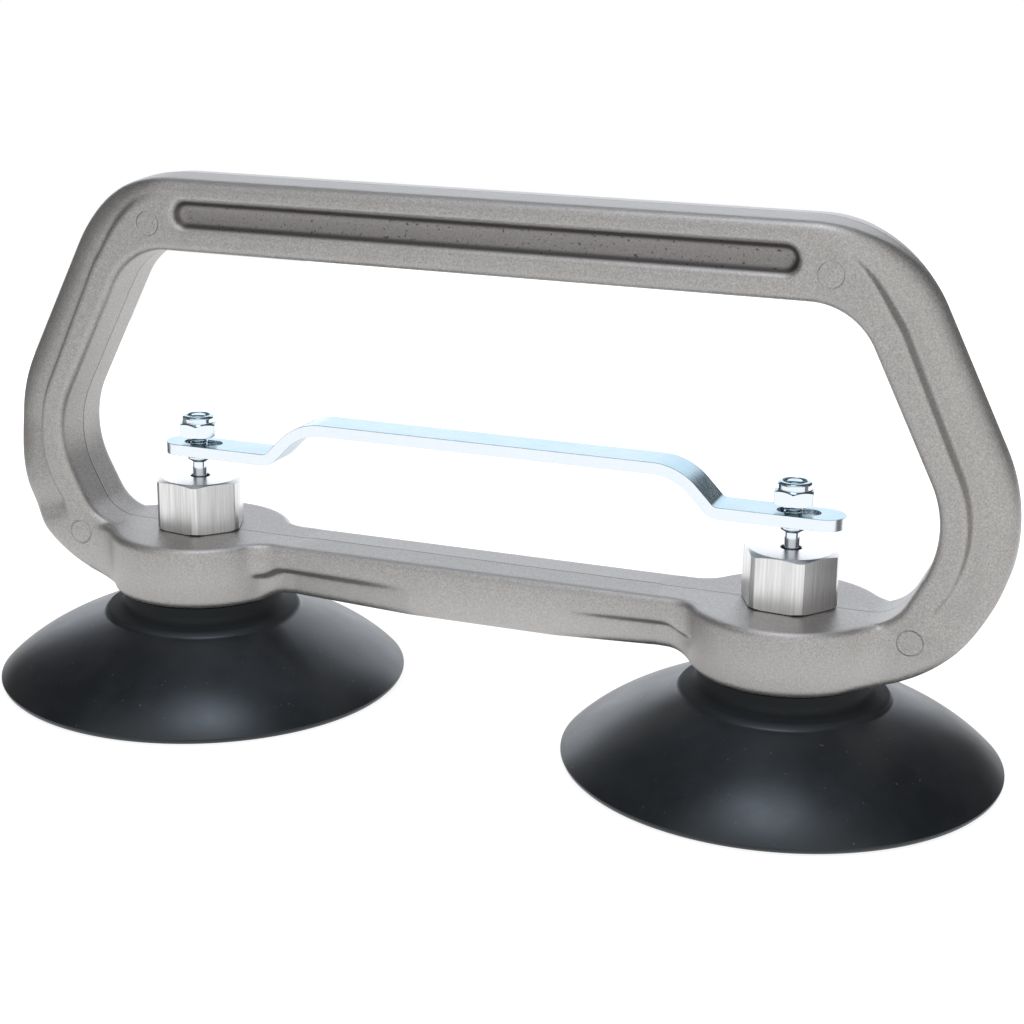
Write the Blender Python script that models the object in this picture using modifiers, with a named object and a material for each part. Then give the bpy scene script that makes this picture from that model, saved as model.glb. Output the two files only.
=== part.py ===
"""Double suction cup lifter.

A cast handle stands on two moulded rubber cups. In the hollow hexagonal body over each cup a spring
holds a sealed poppet on its seat. A loose steel bar under the lock nuts lifts both poppets and lets
air into the cups.

Metres, +Z up. X runs along the handle, -Y is the front, the lips of the cups stand on z = 0, and the
origin lies midway between the cups.
"""
from collections import namedtuple
from math import acos, asin, cos, pi, radians, sin, sqrt, tan

import bmesh
import bpy
from mathutils import Matrix, Vector

# Gap that two seated pieces keep to each other
SEAT_GAP = 0.0003

# Suction cups
CUP_SPACING = 0.1905
CUP_RADIUS = 0.0635
CUP_HEIGHT = 0.0290
CUP_NECK_RADIUS = 0.0252
CUP_SHOULDER_RADIUS = 0.0300
CUP_SHOULDER_HEIGHT = 0.0224
CUP_LIP_OVERHANG = 0.0009
CUP_LIP_HEIGHT = 0.0016
CUP_LIP_WIDTH = 0.0017
CUP_HOLLOW_HEIGHT = 0.0195
CUP_AIR_HOLE_RADIUS = 0.0040
CUP_FACE_WIDTH = 0.0011
CUP_STEPS = 36

# Threaded inserts moulded into the cups
INSERT_PLATE_RADIUS = 0.0210
INSERT_PLATE_THICKNESS = 0.0025
INSERT_FLOOR = 0.0228
BUSH_RADIUS = 0.0097
BUSH_HEIGHT = 0.0202
SEAT_HOLE_RADIUS = 0.0025
SEAT_LIP_WIDTH = 0.0011
SEAT_LIP_HEIGHT = 0.0010

# Cast handle: bosses
BOSS_RADIUS = 0.0288
BOSS_HEIGHT = 0.0194
BOSS_DRAFT = 0.0008
BOSS_BAR_FILLET = 0.0090
BOSS_LEG_FILLET = 0.0140
BOSS_FLARE_LENGTH = 0.0088
BOSS_STEP_DROP = 0.0045
BOSS_STEP_RUN = 0.0062
BOSS_FILLET_STEPS = 4
BOSS_ROUND_STEPS = 6

# Cast handle: the loop, its window and its T-shaped section
HANDLE_HALF_DEPTH = 0.01215
WINDOW_HEIGHT = 0.08885
WINDOW_TOP_REACH = 0.01595
WINDOW_TOP_HALF = CUP_SPACING / 2 + WINDOW_TOP_REACH
WINDOW_KNEE_REACH = 0.04615
WINDOW_KNEE_HALF = CUP_SPACING / 2 + WINDOW_KNEE_REACH
WINDOW_KNEE_HEIGHT = 0.0284
WINDOW_FOOT_REACH = 0.03155
WINDOW_FOOT_HALF = CUP_SPACING / 2 + WINDOW_FOOT_REACH
GRIP_HEIGHT = 0.0225
LEG_WIDTH = 0.0204
LOWER_BAR_HEIGHT = 0.0166
INNER_TOP_RADIUS = 0.0205
INNER_KNEE_RADIUS = 0.0300
INNER_FOOT_RADIUS = 0.0136
OUTER_TOP_RADIUS = 0.0410
OUTER_FOOT_RADIUS = 0.0440
OUTER_KNEE_SHARE = 0.9515
FLANGE_WIDTH = 0.0078
FLANGE_EDGE = 0.0009
EDGE_ROUNDING = 0.0022
RIB_HALF_DEPTH = 0.0080
RIB_ROUNDING = 0.0074
GRIP_ROUNDING = 0.0034
GRIP_FLANGE = 0.0169
PARTING_CROWN = 0.0006
BAR_CROWN = 0.0003
PAD_OFFSET = 0.0050
PAD_HALF_LENGTH = 0.0230
GROOVE_END = 0.0162
GROOVE_HALF_LENGTH = WINDOW_TOP_HALF - GROOVE_END
GROOVE_HEIGHT = 0.0074
GROOVE_DEPTH = 0.0030
GROOVE_ROUNDING = 0.0022
TOP_ARC_STEPS = 10
KNEE_ARC_STEPS = 7
FOOT_ARC_STEPS = 6

# Hexagonal valve bodies
HEX_ACROSS_FLATS = 0.0254
HEX_HEIGHT = 0.0159
HEX_FACE_RADIUS = 0.0118
HEX_BASE_RADIUS = 0.0134
HEX_CHAMFER_HEIGHT = 0.00125
HEX_EDGE_BREAK = 0.0011
HEX_TURNS = {"left": radians(21), "right": radians(24.5)}
SHANK_LENGTH = 0.0180
THREAD_GAP = 0.0003
SHANK_RADIUS = 0.00765
SHANK_CHAMFER = 0.0006
CHAMBER_RADIUS = 0.0054
ROOF_THICKNESS = 0.0035
VENT_RADIUS = 0.0030

# Valve stems
ROD_RADIUS = 0.00218
COLLAR_RADIUS = 0.0038
COLLAR_RISE = 0.0070
COLLAR_LENGTH = 0.0013
COLLAR_CONE = 0.0010
THREAD_RADIUS = 0.00275
THREAD_CHAMFER = 0.0004
TENON_RADIUS = 0.00155
TENON_LENGTH = 0.0035

# Poppets and their rubber seals
SEAL_RADIUS = 0.0045
SEAL_THICKNESS = 0.0020
SEAL_NUB_RADIUS = 0.0015
SEAL_NUB_HEIGHT = 0.0020
POPPET_RADIUS = 0.0048
POPPET_FLANGE = 0.0015
POPPET_HUB_RADIUS = 0.0030
POPPET_HUB_HEIGHT = 0.0050

# Valve springs
SPRING_WIRE = 0.0008
SPRING_RADIUS = 0.0042
SPRING_COILS = 8
SPRING_END_COILS = 1
SPRING_STEPS = 8

# Release bar
BAR_OVERHANG = 0.0130
BAR_LENGTH = CUP_SPACING + 2 * BAR_OVERHANG
BAR_WIDTH = 0.0127
BAR_THICKNESS = 0.0036
BAR_OFFSET = 0.0016
BAR_BEND_OFFSET = 0.0007
BAR_RISE = 0.0112
BAR_BEND_INSET = 0.03015
BAR_BEND_HALF = CUP_SPACING / 2 - BAR_BEND_INSET
BAR_BEND_ANGLE = radians(46)
BAR_LOWER_BEND = 0.0046
BAR_UPPER_BEND = 0.0170
BAR_PLAY = 0.0021
SLOT_LENGTH = 0.0127
SLOT_WIDTH = 0.0061

# Lock nuts with a plastic ring
NUT_ACROSS_FLATS = 0.0111
NUT_HEIGHT = 0.0067
NUT_HEX_HEIGHT = 0.0044
NUT_COLLAR_RADIUS = 0.0050
NUT_COLLAR_ROUNDING = 0.0009
NUT_LIP_RADIUS = 0.0035
NUT_LIP_THICKNESS = 0.0005
NUT_CORNER_CHAMFER = 0.0007
NUT_RING_HEIGHT = 0.0015
NUT_RING_RADIUS = 0.0040
NUT_TURNS = {"left": radians(19), "right": radians(9)}

# How far a boss stands proud of the loop, so that the two never share a face
BOSS_PROUD = 0.00005

# Heights that follow from the stack of pieces
BOSS_BOTTOM = CUP_HEIGHT + SEAT_GAP
BOSS_TOP = BOSS_BOTTOM + BOSS_HEIGHT
WINDOW_FLOOR = BOSS_TOP - BOSS_PROUD
WINDOW_CEILING = WINDOW_FLOOR + WINDOW_HEIGHT
HEX_BASE = BOSS_TOP + SEAT_GAP
HEX_TOP = HEX_BASE + HEX_HEIGHT
CHAMBER_ROOF = HEX_TOP - ROOF_THICKNESS
SEAT_FLOOR = INSERT_FLOOR + INSERT_PLATE_THICKNESS
SEAT_TOP = SEAT_FLOOR + SEAT_LIP_HEIGHT
SEAL_BOTTOM = SEAT_TOP + SEAT_GAP
SEAL_TOP = SEAL_BOTTOM + SEAL_THICKNESS
POPPET_BOTTOM = SEAL_TOP + SEAT_GAP
POPPET_SHELF = POPPET_BOTTOM + POPPET_FLANGE
POPPET_TOP = POPPET_SHELF + POPPET_HUB_HEIGHT
ROD_BOTTOM = POPPET_TOP + SEAT_GAP
COLLAR_TOP = HEX_TOP + COLLAR_RISE
BAR_UNDERSIDE = COLLAR_TOP + SEAT_GAP
BAR_TOP = BAR_UNDERSIDE + BAR_THICKNESS
NUT_BOTTOM = BAR_TOP + BAR_PLAY
NUT_TOP = NUT_BOTTOM + NUT_HEIGHT
SIDES = {"left": -CUP_SPACING / 2, "right": CUP_SPACING / 2}

# Extra length of a cutter beyond what it cuts
REACH = 0.010
# How far the loop shrinks inside a boss
CORE_INSET = 0.0020

Finish = namedtuple("Finish", "colour metallic roughness")
CAST_ALUMINIUM = Finish((0.42, 0.41, 0.40), 0.9, 0.5)
BRIGHT_ALUMINIUM = Finish((0.80, 0.80, 0.80), 1.0, 0.35)
ZINC = Finish((0.70, 0.76, 0.80), 1.0, 0.25)
RUBBER = Finish((0.015, 0.016, 0.018), 0.0, 0.45)
NYLON = Finish((0.75, 0.76, 0.74), 0.0, 0.4)
SPRING_STEEL = Finish((0.60, 0.60, 0.60), 1.0, 0.3)

Section = namedtuple("Section", "depth flange rib rounding inner_crown outer_crown")


def clear_scene():
    for item in list(bpy.data.objects):
        bpy.data.objects.remove(item)


def new_collection(name):
    collection = bpy.data.collections.new(name)
    bpy.context.scene.collection.children.link(collection)
    return collection


def material(name, finish):
    """One material for each sub-part."""
    made = bpy.data.materials.new(name)
    made.use_nodes = True
    shader = made.node_tree.nodes["Principled BSDF"]
    shader.inputs["Base Color"].default_value = (*finish.colour, 1.0)
    shader.inputs["Metallic"].default_value = finish.metallic
    shader.inputs["Roughness"].default_value = finish.roughness
    made.diffuse_color = (*finish.colour, 1.0)
    return made


def link_part(item, parts, parent, finish):
    """Puts a finished sub-part under its joint's empty, without moving it."""
    parts.objects.link(item)
    if item.type == "MESH":
        bpy.context.view_layer.update()
        evaluated = item.evaluated_get(bpy.context.evaluated_depsgraph_get())
        item.data = bpy.data.meshes.new_from_object(evaluated)
        item.modifiers.clear()
        shade_round(item.data)
    item.data.materials.clear()
    item.data.materials.append(material(item.name, finish))
    item.parent = parent
    item.matrix_parent_inverse = Matrix.Translation(parent.location).inverted()
    return item


def link_cutter(item, cutters):
    """Keeps a tool shape out of renders and shows it as wires."""
    cutters.objects.link(item)
    item.hide_render = True
    item.display_type = "WIRE"
    return item


def boolean(item, tool, operation):
    cut = item.modifiers.new(tool.name, "BOOLEAN")
    cut.operation = operation
    cut.solver = "EXACT"
    cut.object = tool


def shade_round(mesh):
    mesh.shade_smooth()
    mesh.set_sharp_from_angle(angle=radians(35))


def mesh_object(name, mesh):
    item = bpy.data.objects.new(name, mesh)
    shade_round(mesh)
    return item


def turned(name, profile, x, steps, closed):
    """A revolved body. The profile's (radius, z) points run down its outer side."""
    mesh = bpy.data.meshes.new(name)
    edges = [(i, i + 1) for i in range(len(profile) - 1)]
    if closed:
        edges.append((len(profile) - 1, 0))
    mesh.from_pydata([(r, 0, z) for r, z in profile], edges, [])
    item = bpy.data.objects.new(name, mesh)
    item.location = (x, 0, 0)
    spin = item.modifiers.new("spin", "SCREW")
    spin.axis = "Z"
    spin.angle = 2 * pi
    spin.steps = steps
    spin.render_steps = steps
    spin.use_merge_vertices = True
    spin.merge_threshold = 0.00001
    spin.use_smooth_shade = True
    return item


def prism(name, outline, low, high, axis):
    """A flat outline with thickness. It lies in XY from z = low to high, or in XZ along y."""
    curve = bpy.data.curves.new(name, "CURVE")
    curve.dimensions = "2D"
    curve.fill_mode = "BOTH"
    curve.extrude = (high - low) / 2
    spline = curve.splines.new("POLY")
    spline.points.add(len(outline) - 1)
    for point, (a, b) in zip(spline.points, outline):
        point.co = (a, b, 0, 1)
    spline.use_cyclic_u = True
    drawn = bpy.data.objects.new(name + "_outline", curve)
    middle = (low + high) / 2
    if axis == "Z":
        place = Matrix.Translation((0, 0, middle))
    else:
        place = Matrix.Translation((0, middle, 0)) @ Matrix.Rotation(pi / 2, 4, "X")
    bpy.context.scene.collection.objects.link(drawn)
    bpy.context.view_layer.update()
    mesh = bpy.data.meshes.new_from_object(drawn.evaluated_get(bpy.context.evaluated_depsgraph_get()))
    bpy.data.objects.remove(drawn)
    mesh.transform(place)
    work = bmesh.new()
    work.from_mesh(mesh)
    bmesh.ops.remove_doubles(work, verts=work.verts, dist=0.00001)
    bmesh.ops.recalc_face_normals(work, faces=work.faces)
    work.to_mesh(mesh)
    work.free()
    return mesh_object(name, mesh)


def bevel(item, width, segments, angle):
    soft = item.modifiers.new("rounding", "BEVEL")
    soft.width = width
    soft.segments = segments
    soft.limit_method = "ANGLE"
    soft.angle_limit = angle
    return soft


def smooth(t):
    """Eases from 0 to 1 with flat ends."""
    t = min(max(t, 0.0), 1.0)
    return t * t * (3 - 2 * t)


def bezier(start, control, end, steps):
    """Points of a quadratic curve, both ends included."""
    points = []
    for i in range(steps + 1):
        t = i / steps
        a, b, c = (1 - t) ** 2, 2 * t * (1 - t), t * t
        points.append((a * start[0] + b * control[0] + c * end[0], a * start[1] + b * control[1] + c * end[1]))
    return points


def corner_arc(before, corner, after, radius, steps):
    """The arc that rounds a corner between two straight lines, both ends included."""
    before, corner, after = Vector(before), Vector(corner), Vector(after)
    into = (before - corner).normalized()
    out = (after - corner).normalized()
    half = acos(max(-1.0, min(1.0, into.dot(out)))) / 2
    centre = corner + (into + out).normalized() * (radius / sin(half))
    start = corner + into * (radius / tan(half)) - centre
    turn = pi - 2 * half
    if into.x * out.y - into.y * out.x > 0:
        turn = -turn
    points = []
    for i in range(steps + 1):
        a = turn * i / steps
        points.append(centre + Vector((start.x * cos(a) - start.y * sin(a), start.x * sin(a) + start.y * cos(a))))
    return points


def stadium(centre, half_length, half_width, steps):
    """A slot outline along the first axis, with full round ends."""
    x, y = centre
    run = half_length - half_width
    points = []
    for sign in (1, -1):
        for i in range(steps + 1):
            a = -pi / 2 + pi * i / steps
            points.append((x + sign * (run + half_width * cos(a)), y + sign * half_width * sin(a)))
    return points


def hexagon(x, across_flats, turn):
    """Corners of a hexagon round (x, 0), the first one turned from -Y towards +X."""
    reach = across_flats / sqrt(3)
    return [(x + reach * sin(turn + i * pi / 3), -reach * cos(turn + i * pi / 3)) for i in range(6)]


def blend(a, b, t):
    return Section(*(p + (q - p) * t for p, q in zip(a, b)))


LEG = Section(HANDLE_HALF_DEPTH, FLANGE_WIDTH, RIB_HALF_DEPTH, RIB_ROUNDING, PARTING_CROWN, 0.0)
GRIP = Section(HANDLE_HALF_DEPTH, GRIP_FLANGE, HANDLE_HALF_DEPTH, GRIP_ROUNDING, PARTING_CROWN, PARTING_CROWN)
FOOT = Section(HANDLE_HALF_DEPTH, FLANGE_WIDTH, HANDLE_HALF_DEPTH, EDGE_ROUNDING, 0.0, 0.0)
LOWER_BAR = Section(HANDLE_HALF_DEPTH, FLANGE_WIDTH, RIB_HALF_DEPTH, EDGE_ROUNDING, BAR_CROWN, 0.0)
PAD = LOWER_BAR._replace(rib=HANDLE_HALF_DEPTH)
CORE = FOOT._replace(depth=HANDLE_HALF_DEPTH - CORE_INSET, rib=HANDLE_HALF_DEPTH - CORE_INSET)


def section_ring(inner, outer, section):
    """The T-shaped section between a point of the window and one of the outer side."""
    width = (outer - inner).length
    across = (outer - inner) / width
    tip = width - section.outer_crown
    shoulder = max(tip - section.rounding, section.flange + 1.5 * FLANGE_EDGE)
    half = []
    for a in (0.0, pi / 4, pi / 2):
        half.append((EDGE_ROUNDING * (1 - cos(a)), section.depth - EDGE_ROUNDING * (1 - sin(a))))
    half += flange_step(section)
    for i in range(4):
        a = pi / 2 * i / 3
        half.append((shoulder + (tip - shoulder) * sin(a), section.rib - section.rounding * (1 - cos(a))))
    ring = [(-section.inner_crown, 0.0)] + half + [(width, 0.0)] + [(n, -y) for n, y in reversed(half)]
    return [(inner.x + across.x * n, y, inner.y + across.y * n) for n, y in ring]


def flange_step(section):
    """Distance from the window and half depth where the flange steps down to the rib."""
    step = section.depth - section.rib
    return [
        (section.flange - FLANGE_EDGE, section.depth),
        (section.flange, section.depth - 0.15 * step),
        (section.flange + FLANGE_EDGE, section.rib),
    ]


def loop_corners():
    """Corners of the right half of the window and of the outer side, from the grip to the boss."""
    inner = [
        Vector((0, WINDOW_CEILING)),
        Vector((WINDOW_TOP_HALF, WINDOW_CEILING)),
        Vector((WINDOW_KNEE_HALF, WINDOW_FLOOR + WINDOW_KNEE_HEIGHT)),
        Vector((WINDOW_FOOT_HALF, WINDOW_FLOOR)),
        Vector((0, WINDOW_FLOOR)),
    ]
    upper = (inner[2] - inner[1]).normalized()
    lower = (inner[3] - inner[2]).normalized()
    upper_shift = Vector((-upper.y, upper.x)) * LEG_WIDTH
    lower_shift = Vector((-lower.y, lower.x)) * LEG_WIDTH
    ceiling = WINDOW_CEILING + GRIP_HEIGHT
    floor = BOSS_BOTTOM + BOSS_PROUD
    top = inner[1] + upper_shift
    top += upper * ((ceiling - top.y) / upper.y)
    bend = (upper_shift + lower_shift).normalized()
    knee = inner[2] + bend * (LEG_WIDTH / bend.dot(upper_shift.normalized()))
    foot = inner[3] + lower_shift
    foot += lower * ((floor - foot.y) / lower.y)
    return inner, [Vector((0, ceiling)), top, knee, foot, Vector((0, floor))]


def half_corner(before, corner, after):
    into = (before - corner).normalized()
    out = (after - corner).normalized()
    return acos(max(-1.0, min(1.0, into.dot(out)))) / 2


def outer_knee_radius(outer):
    """The knee's arc takes up its share of the side that the foot's arc leaves."""
    left = (outer[3] - outer[2]).length - OUTER_FOOT_RADIUS / tan(half_corner(*outer[2:5]))
    return OUTER_KNEE_SHARE * left * tan(half_corner(*outer[1:4]))


def upper_stations():
    """Window point, outer point and section from the middle of the grip into the right boss."""
    inner, outer = loop_corners()
    corners = (
        (INNER_TOP_RADIUS, OUTER_TOP_RADIUS, TOP_ARC_STEPS),
        (INNER_KNEE_RADIUS, outer_knee_radius(outer), KNEE_ARC_STEPS),
        (INNER_FOOT_RADIUS, OUTER_FOOT_RADIUS, FOOT_ARC_STEPS),
    )
    stations = [(inner[0], outer[0], GRIP)]
    for i, (inner_radius, outer_radius, steps) in enumerate(corners):
        near = corner_arc(*inner[i:i + 3], inner_radius, steps)
        far = corner_arc(*outer[i:i + 3], outer_radius, steps)
        for k in range(steps + 1):
            t = k / steps
            section = (
                blend(GRIP, LEG, smooth(1.1 * t)),
                blend(LEG, FOOT, 0.6 * smooth(1.7 * t - 0.7)),
                blend(LEG, FOOT, 0.6 + 0.4 * smooth(4 * t)),
            )[i]
            stations.append((near[k], far[k], section))
    near, far = stations[-1][:2]
    inboard = Vector((-2 * CORE_INSET, 0))
    inset = Vector((0, CORE_INSET))
    stations.append((near + inboard - inset, far + inboard + inset, CORE))
    return stations


def bar_stations():
    """Stations along the lower bar from the right boss to the left one.

    The step under the flange is deepest at the bosses and fades out towards the flush pad.
    """
    end = CUP_SPACING / 2 - boss_run(BOSS_BAR_FILLET, RIB_HALF_DEPTH) - BOSS_PROUD - EDGE_ROUNDING
    plain = LOWER_BAR._replace(inner_crown=0.0)
    core = Section(
        HANDLE_HALF_DEPTH - CORE_INSET,
        FLANGE_WIDTH - 1.5 * CORE_INSET,
        RIB_HALF_DEPTH - CORE_INSET,
        EDGE_ROUNDING,
        0.0,
        0.0,
    )
    halves = []
    for sign in (1, -1):
        pad = PAD_OFFSET + sign * PAD_HALF_LENGTH
        half = [(sign * (end + CORE_INSET / 4), plain), (sign * (end - CORE_INSET / 4), plain)]
        for t in (2 * CORE_INSET / end, 0.5, 1.0):
            half.append((sign * end + (pad - sign * end) * t, blend(LOWER_BAR, PAD, t)))
        halves.append(half)
    bottom = WINDOW_FLOOR - LOWER_BAR_HEIGHT
    stations = [
        (Vector((x, WINDOW_FLOOR)), Vector((x, bottom)), section) for x, section in halves[0] + halves[1][::-1]
    ]
    for sign, place, station in ((1, 0, stations[0]), (-1, len(stations) + 1, stations[-1])):
        inboard = Vector((2 * sign * CORE_INSET, -CORE_INSET))
        stations.insert(place, (station[0] + inboard, station[1] + Vector((inboard.x, CORE_INSET)), core))
    return stations


def skin_rings(name, rings, caps):
    """A mesh through rings of equal length, closed on itself or by strips across its end rings."""
    work = bmesh.new()
    grid = [[work.verts.new(point) for point in ring] for ring in rings]
    count = len(grid[0])
    pairs = list(zip(grid, grid[1:]))
    if not caps:
        pairs.append((grid[-1], grid[0]))
    for ring, following in pairs:
        for k in range(count):
            m = (k + 1) % count
            work.faces.new((ring[k], ring[m], following[m], following[k]))
    if caps:
        for ring in (grid[0], grid[-1]):
            for k in range(count // 2 - 1):
                work.faces.new((ring[k], ring[k + 1], ring[-k - 2], ring[-k - 1]))
    bmesh.ops.recalc_face_normals(work, faces=work.faces)
    mesh = bpy.data.meshes.new(name)
    work.to_mesh(mesh)
    work.free()
    return mesh_object(name, mesh)


def handle_loop(name):
    """The T-shaped section lofted round the whole loop."""
    upper = [section_ring(*station) for station in upper_stations()]
    lower = [section_ring(*station) for station in bar_stations()]
    mirrored = [[(-x, y, z) for x, y, z in ring] for ring in reversed(upper[1:])]
    return skin_rings(name, upper + lower + mirrored, False)


def boss_run(fillet, neck):
    """Distance from a boss's axis to where its fillet runs out into a neck of this half depth."""
    return sqrt((BOSS_RADIUS + fillet) ** 2 - (neck + fillet) ** 2)


def boss_places():
    """Distances from a boss's axis, from its end on the lower bar (negative) to its end on the leg."""
    bar_run = boss_run(BOSS_BAR_FILLET, RIB_HALF_DEPTH)
    leg_run = boss_run(BOSS_LEG_FILLET, HANDLE_HALF_DEPTH)
    bar_joint = bar_run * BOSS_RADIUS / (BOSS_RADIUS + BOSS_BAR_FILLET)
    leg_joint = leg_run * BOSS_RADIUS / (BOSS_RADIUS + BOSS_LEG_FILLET)
    places = [-bar_run - EDGE_ROUNDING - BOSS_PROUD]
    places += [-bar_run + (bar_run - bar_joint) * i / BOSS_FILLET_STEPS for i in range(BOSS_FILLET_STEPS)]
    for i in range(2 * BOSS_ROUND_STEPS + 1):
        t = i / BOSS_ROUND_STEPS - 1
        joint = bar_joint if t < 0 else leg_joint
        places.append(BOSS_RADIUS * sin(t * asin(joint / BOSS_RADIUS)))
    places += [leg_joint + (leg_run - leg_joint) * (i + 1) / BOSS_FILLET_STEPS for i in range(BOSS_FILLET_STEPS)]
    places.append(leg_run + EDGE_ROUNDING / 2)
    return places


def boss_half_depth(a, shrink, draft, bar_neck):
    """Half depth of a boss at a distance from its axis, drawn in by its rounding and draft."""
    fillet, neck = (BOSS_BAR_FILLET, bar_neck) if a < 0 else (BOSS_LEG_FILLET, HANDLE_HALF_DEPTH)
    radius = BOSS_RADIUS - shrink - draft
    width = neck + BOSS_PROUD - shrink
    bend = fillet + shrink
    run = sqrt((radius + bend) ** 2 - (width + bend) ** 2)
    if abs(a) < run * radius / (radius + bend):
        return sqrt(radius ** 2 - a ** 2)
    return width + bend - sqrt(bend ** 2 - max(0.0, run - abs(a)) ** 2)


def boss_underside(a, foot_arc):
    """Height of a boss's underside at a distance from its axis, positive towards the leg."""
    bar = WINDOW_FLOOR - LOWER_BAR_HEIGHT - BOSS_PROUD
    flat = CUP_NECK_RADIUS + SEAT_GAP
    if a < -flat:
        t = max(0.0, 1 + (a + flat) / BOSS_FLARE_LENGTH)
        return bar + (BOSS_BOTTOM - bar) * t * t
    x = CUP_SPACING / 2 + a
    for far, near in zip(foot_arc, foot_arc[1:]):
        if near.x <= x <= far.x:
            return near.y + (far.y - near.y) * (x - near.x) / (far.x - near.x) - BOSS_PROUD
    return BOSS_BOTTOM


def step_drop(a):
    """How far the flange's lower edge bends down into the round of the boss."""
    run = boss_run(BOSS_BAR_FILLET, RIB_HALF_DEPTH)
    return BOSS_STEP_DROP * smooth((a + run) / BOSS_STEP_RUN)


def boss(name, x, cutters):
    """A round boss with fillets that run out into the T of the lower bar and into the leg."""
    side = 1 if x > 0 else -1
    outer = loop_corners()[1]
    foot_arc = corner_arc(*outer[2:5], OUTER_FOOT_RADIUS, 4 * FOOT_ARC_STEPS)
    levels = []
    for a in (0.0, pi / 4, pi / 2):
        levels.append((EDGE_ROUNDING * (1 - sin(a)), HANDLE_HALF_DEPTH, BOSS_TOP - EDGE_ROUNDING * (1 - cos(a))))
    places = boss_places()
    rings = []
    for shrink, neck, z in levels:
        draft = BOSS_DRAFT * (BOSS_TOP - z) / BOSS_HEIGHT
        rings.append([(a, boss_half_depth(a, shrink, draft, neck), z) for a in places])
    for depth, neck in flange_step(LOWER_BAR):
        z = WINDOW_FLOOR - depth - BOSS_PROUD
        draft = BOSS_DRAFT * (BOSS_TOP - z) / BOSS_HEIGHT
        rings.append([(a, boss_half_depth(a, 0.0, draft, neck), z - step_drop(a)) for a in places])
    for i in range(4):
        t = pi / 2 * i / 3
        shrink = EDGE_ROUNDING * (1 - cos(t))
        rise = EDGE_ROUNDING * (1 - sin(t))
        rings.append([
            (a, boss_half_depth(a, shrink, BOSS_DRAFT, RIB_HALF_DEPTH), boss_underside(a, foot_arc) + rise)
            for a in places
        ])
    rings = [[(x + side * a, b, z) for a, b, z in ring] for ring in rings]
    rings = [ring + [(a, -b, z) for a, b, z in reversed(ring)] for ring in rings]
    return link_cutter(skin_rings(name, rings, True), cutters)


def make_handle(cutters):
    handle = handle_loop("handle")
    for side, x in SIDES.items():
        boolean(handle, boss(side + "_boss", x, cutters), "UNION")
    for side, x in SIDES.items():
        radius = BUSH_RADIUS + SEAT_GAP
        bore = [(radius * cos(pi * i / 16), radius * sin(pi * i / 16)) for i in range(32)]
        hole = prism(side + "_bore", [(x + a, b) for a, b in bore], BOSS_BOTTOM - REACH, BOSS_TOP + REACH, "Z")
        boolean(handle, link_cutter(hole, cutters), "DIFFERENCE")
    middle = WINDOW_CEILING + GRIP_HEIGHT / 2
    for side, sign in (("front", -1), ("back", 1)):
        floor = sign * (HANDLE_HALF_DEPTH - GROOVE_DEPTH)
        mouth = sign * (HANDLE_HALF_DEPTH + REACH)
        outline = stadium((0, middle), GROOVE_HALF_LENGTH, GROOVE_HEIGHT / 2, 8)
        groove = prism(side + "_groove", outline, min(floor, mouth), max(floor, mouth), "Y")
        bevel(groove, GROOVE_ROUNDING, 2, radians(50))
        boolean(handle, link_cutter(groove, cutters), "DIFFERENCE")
    return handle


def make_cup(side, x):
    """A rubber bell with a thin lip, moulded round the plate of its insert."""
    neck_hole = BUSH_RADIUS + SEAT_GAP
    shoulder = (CUP_SHOULDER_RADIUS, CUP_SHOULDER_HEIGHT)
    lip_top = (CUP_RADIUS + CUP_LIP_OVERHANG, CUP_LIP_HEIGHT)
    outer = bezier(
        (shoulder[0] + 0.0020, shoulder[1] - 0.0014),
        (CUP_RADIUS * 0.85, CUP_HEIGHT * 0.435),
        lip_top,
        6,
    )
    inner = bezier(
        (CUP_RADIUS - CUP_LIP_WIDTH, CUP_LIP_HEIGHT / 2),
        (CUP_RADIUS * 0.71, CUP_HOLLOW_HEIGHT * 0.76),
        (CUP_RADIUS * 0.31, CUP_HOLLOW_HEIGHT - 0.0005),
        5,
    )
    pocket = INSERT_PLATE_RADIUS + SEAT_GAP
    pocket_floor = INSERT_FLOOR - SEAT_GAP
    pocket_roof = SEAT_FLOOR + SEAT_GAP
    profile = [
        (neck_hole, CUP_HEIGHT),
        (CUP_NECK_RADIUS, CUP_HEIGHT),
        (CUP_NECK_RADIUS, CUP_SHOULDER_HEIGHT + 0.0030),
        (CUP_NECK_RADIUS + 0.0014, CUP_SHOULDER_HEIGHT + 0.0010),
        shoulder,
        *outer,
        (CUP_RADIUS, 0.0),
        (CUP_RADIUS - CUP_FACE_WIDTH, 0.0),
        *inner,
        (CUP_AIR_HOLE_RADIUS, CUP_HOLLOW_HEIGHT),
        (CUP_AIR_HOLE_RADIUS, pocket_floor),
        (pocket, pocket_floor),
        (pocket, pocket_roof),
        (neck_hole, pocket_roof),
    ]
    return turned(side + "_suction_cup", profile, x, CUP_STEPS, True)


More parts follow.
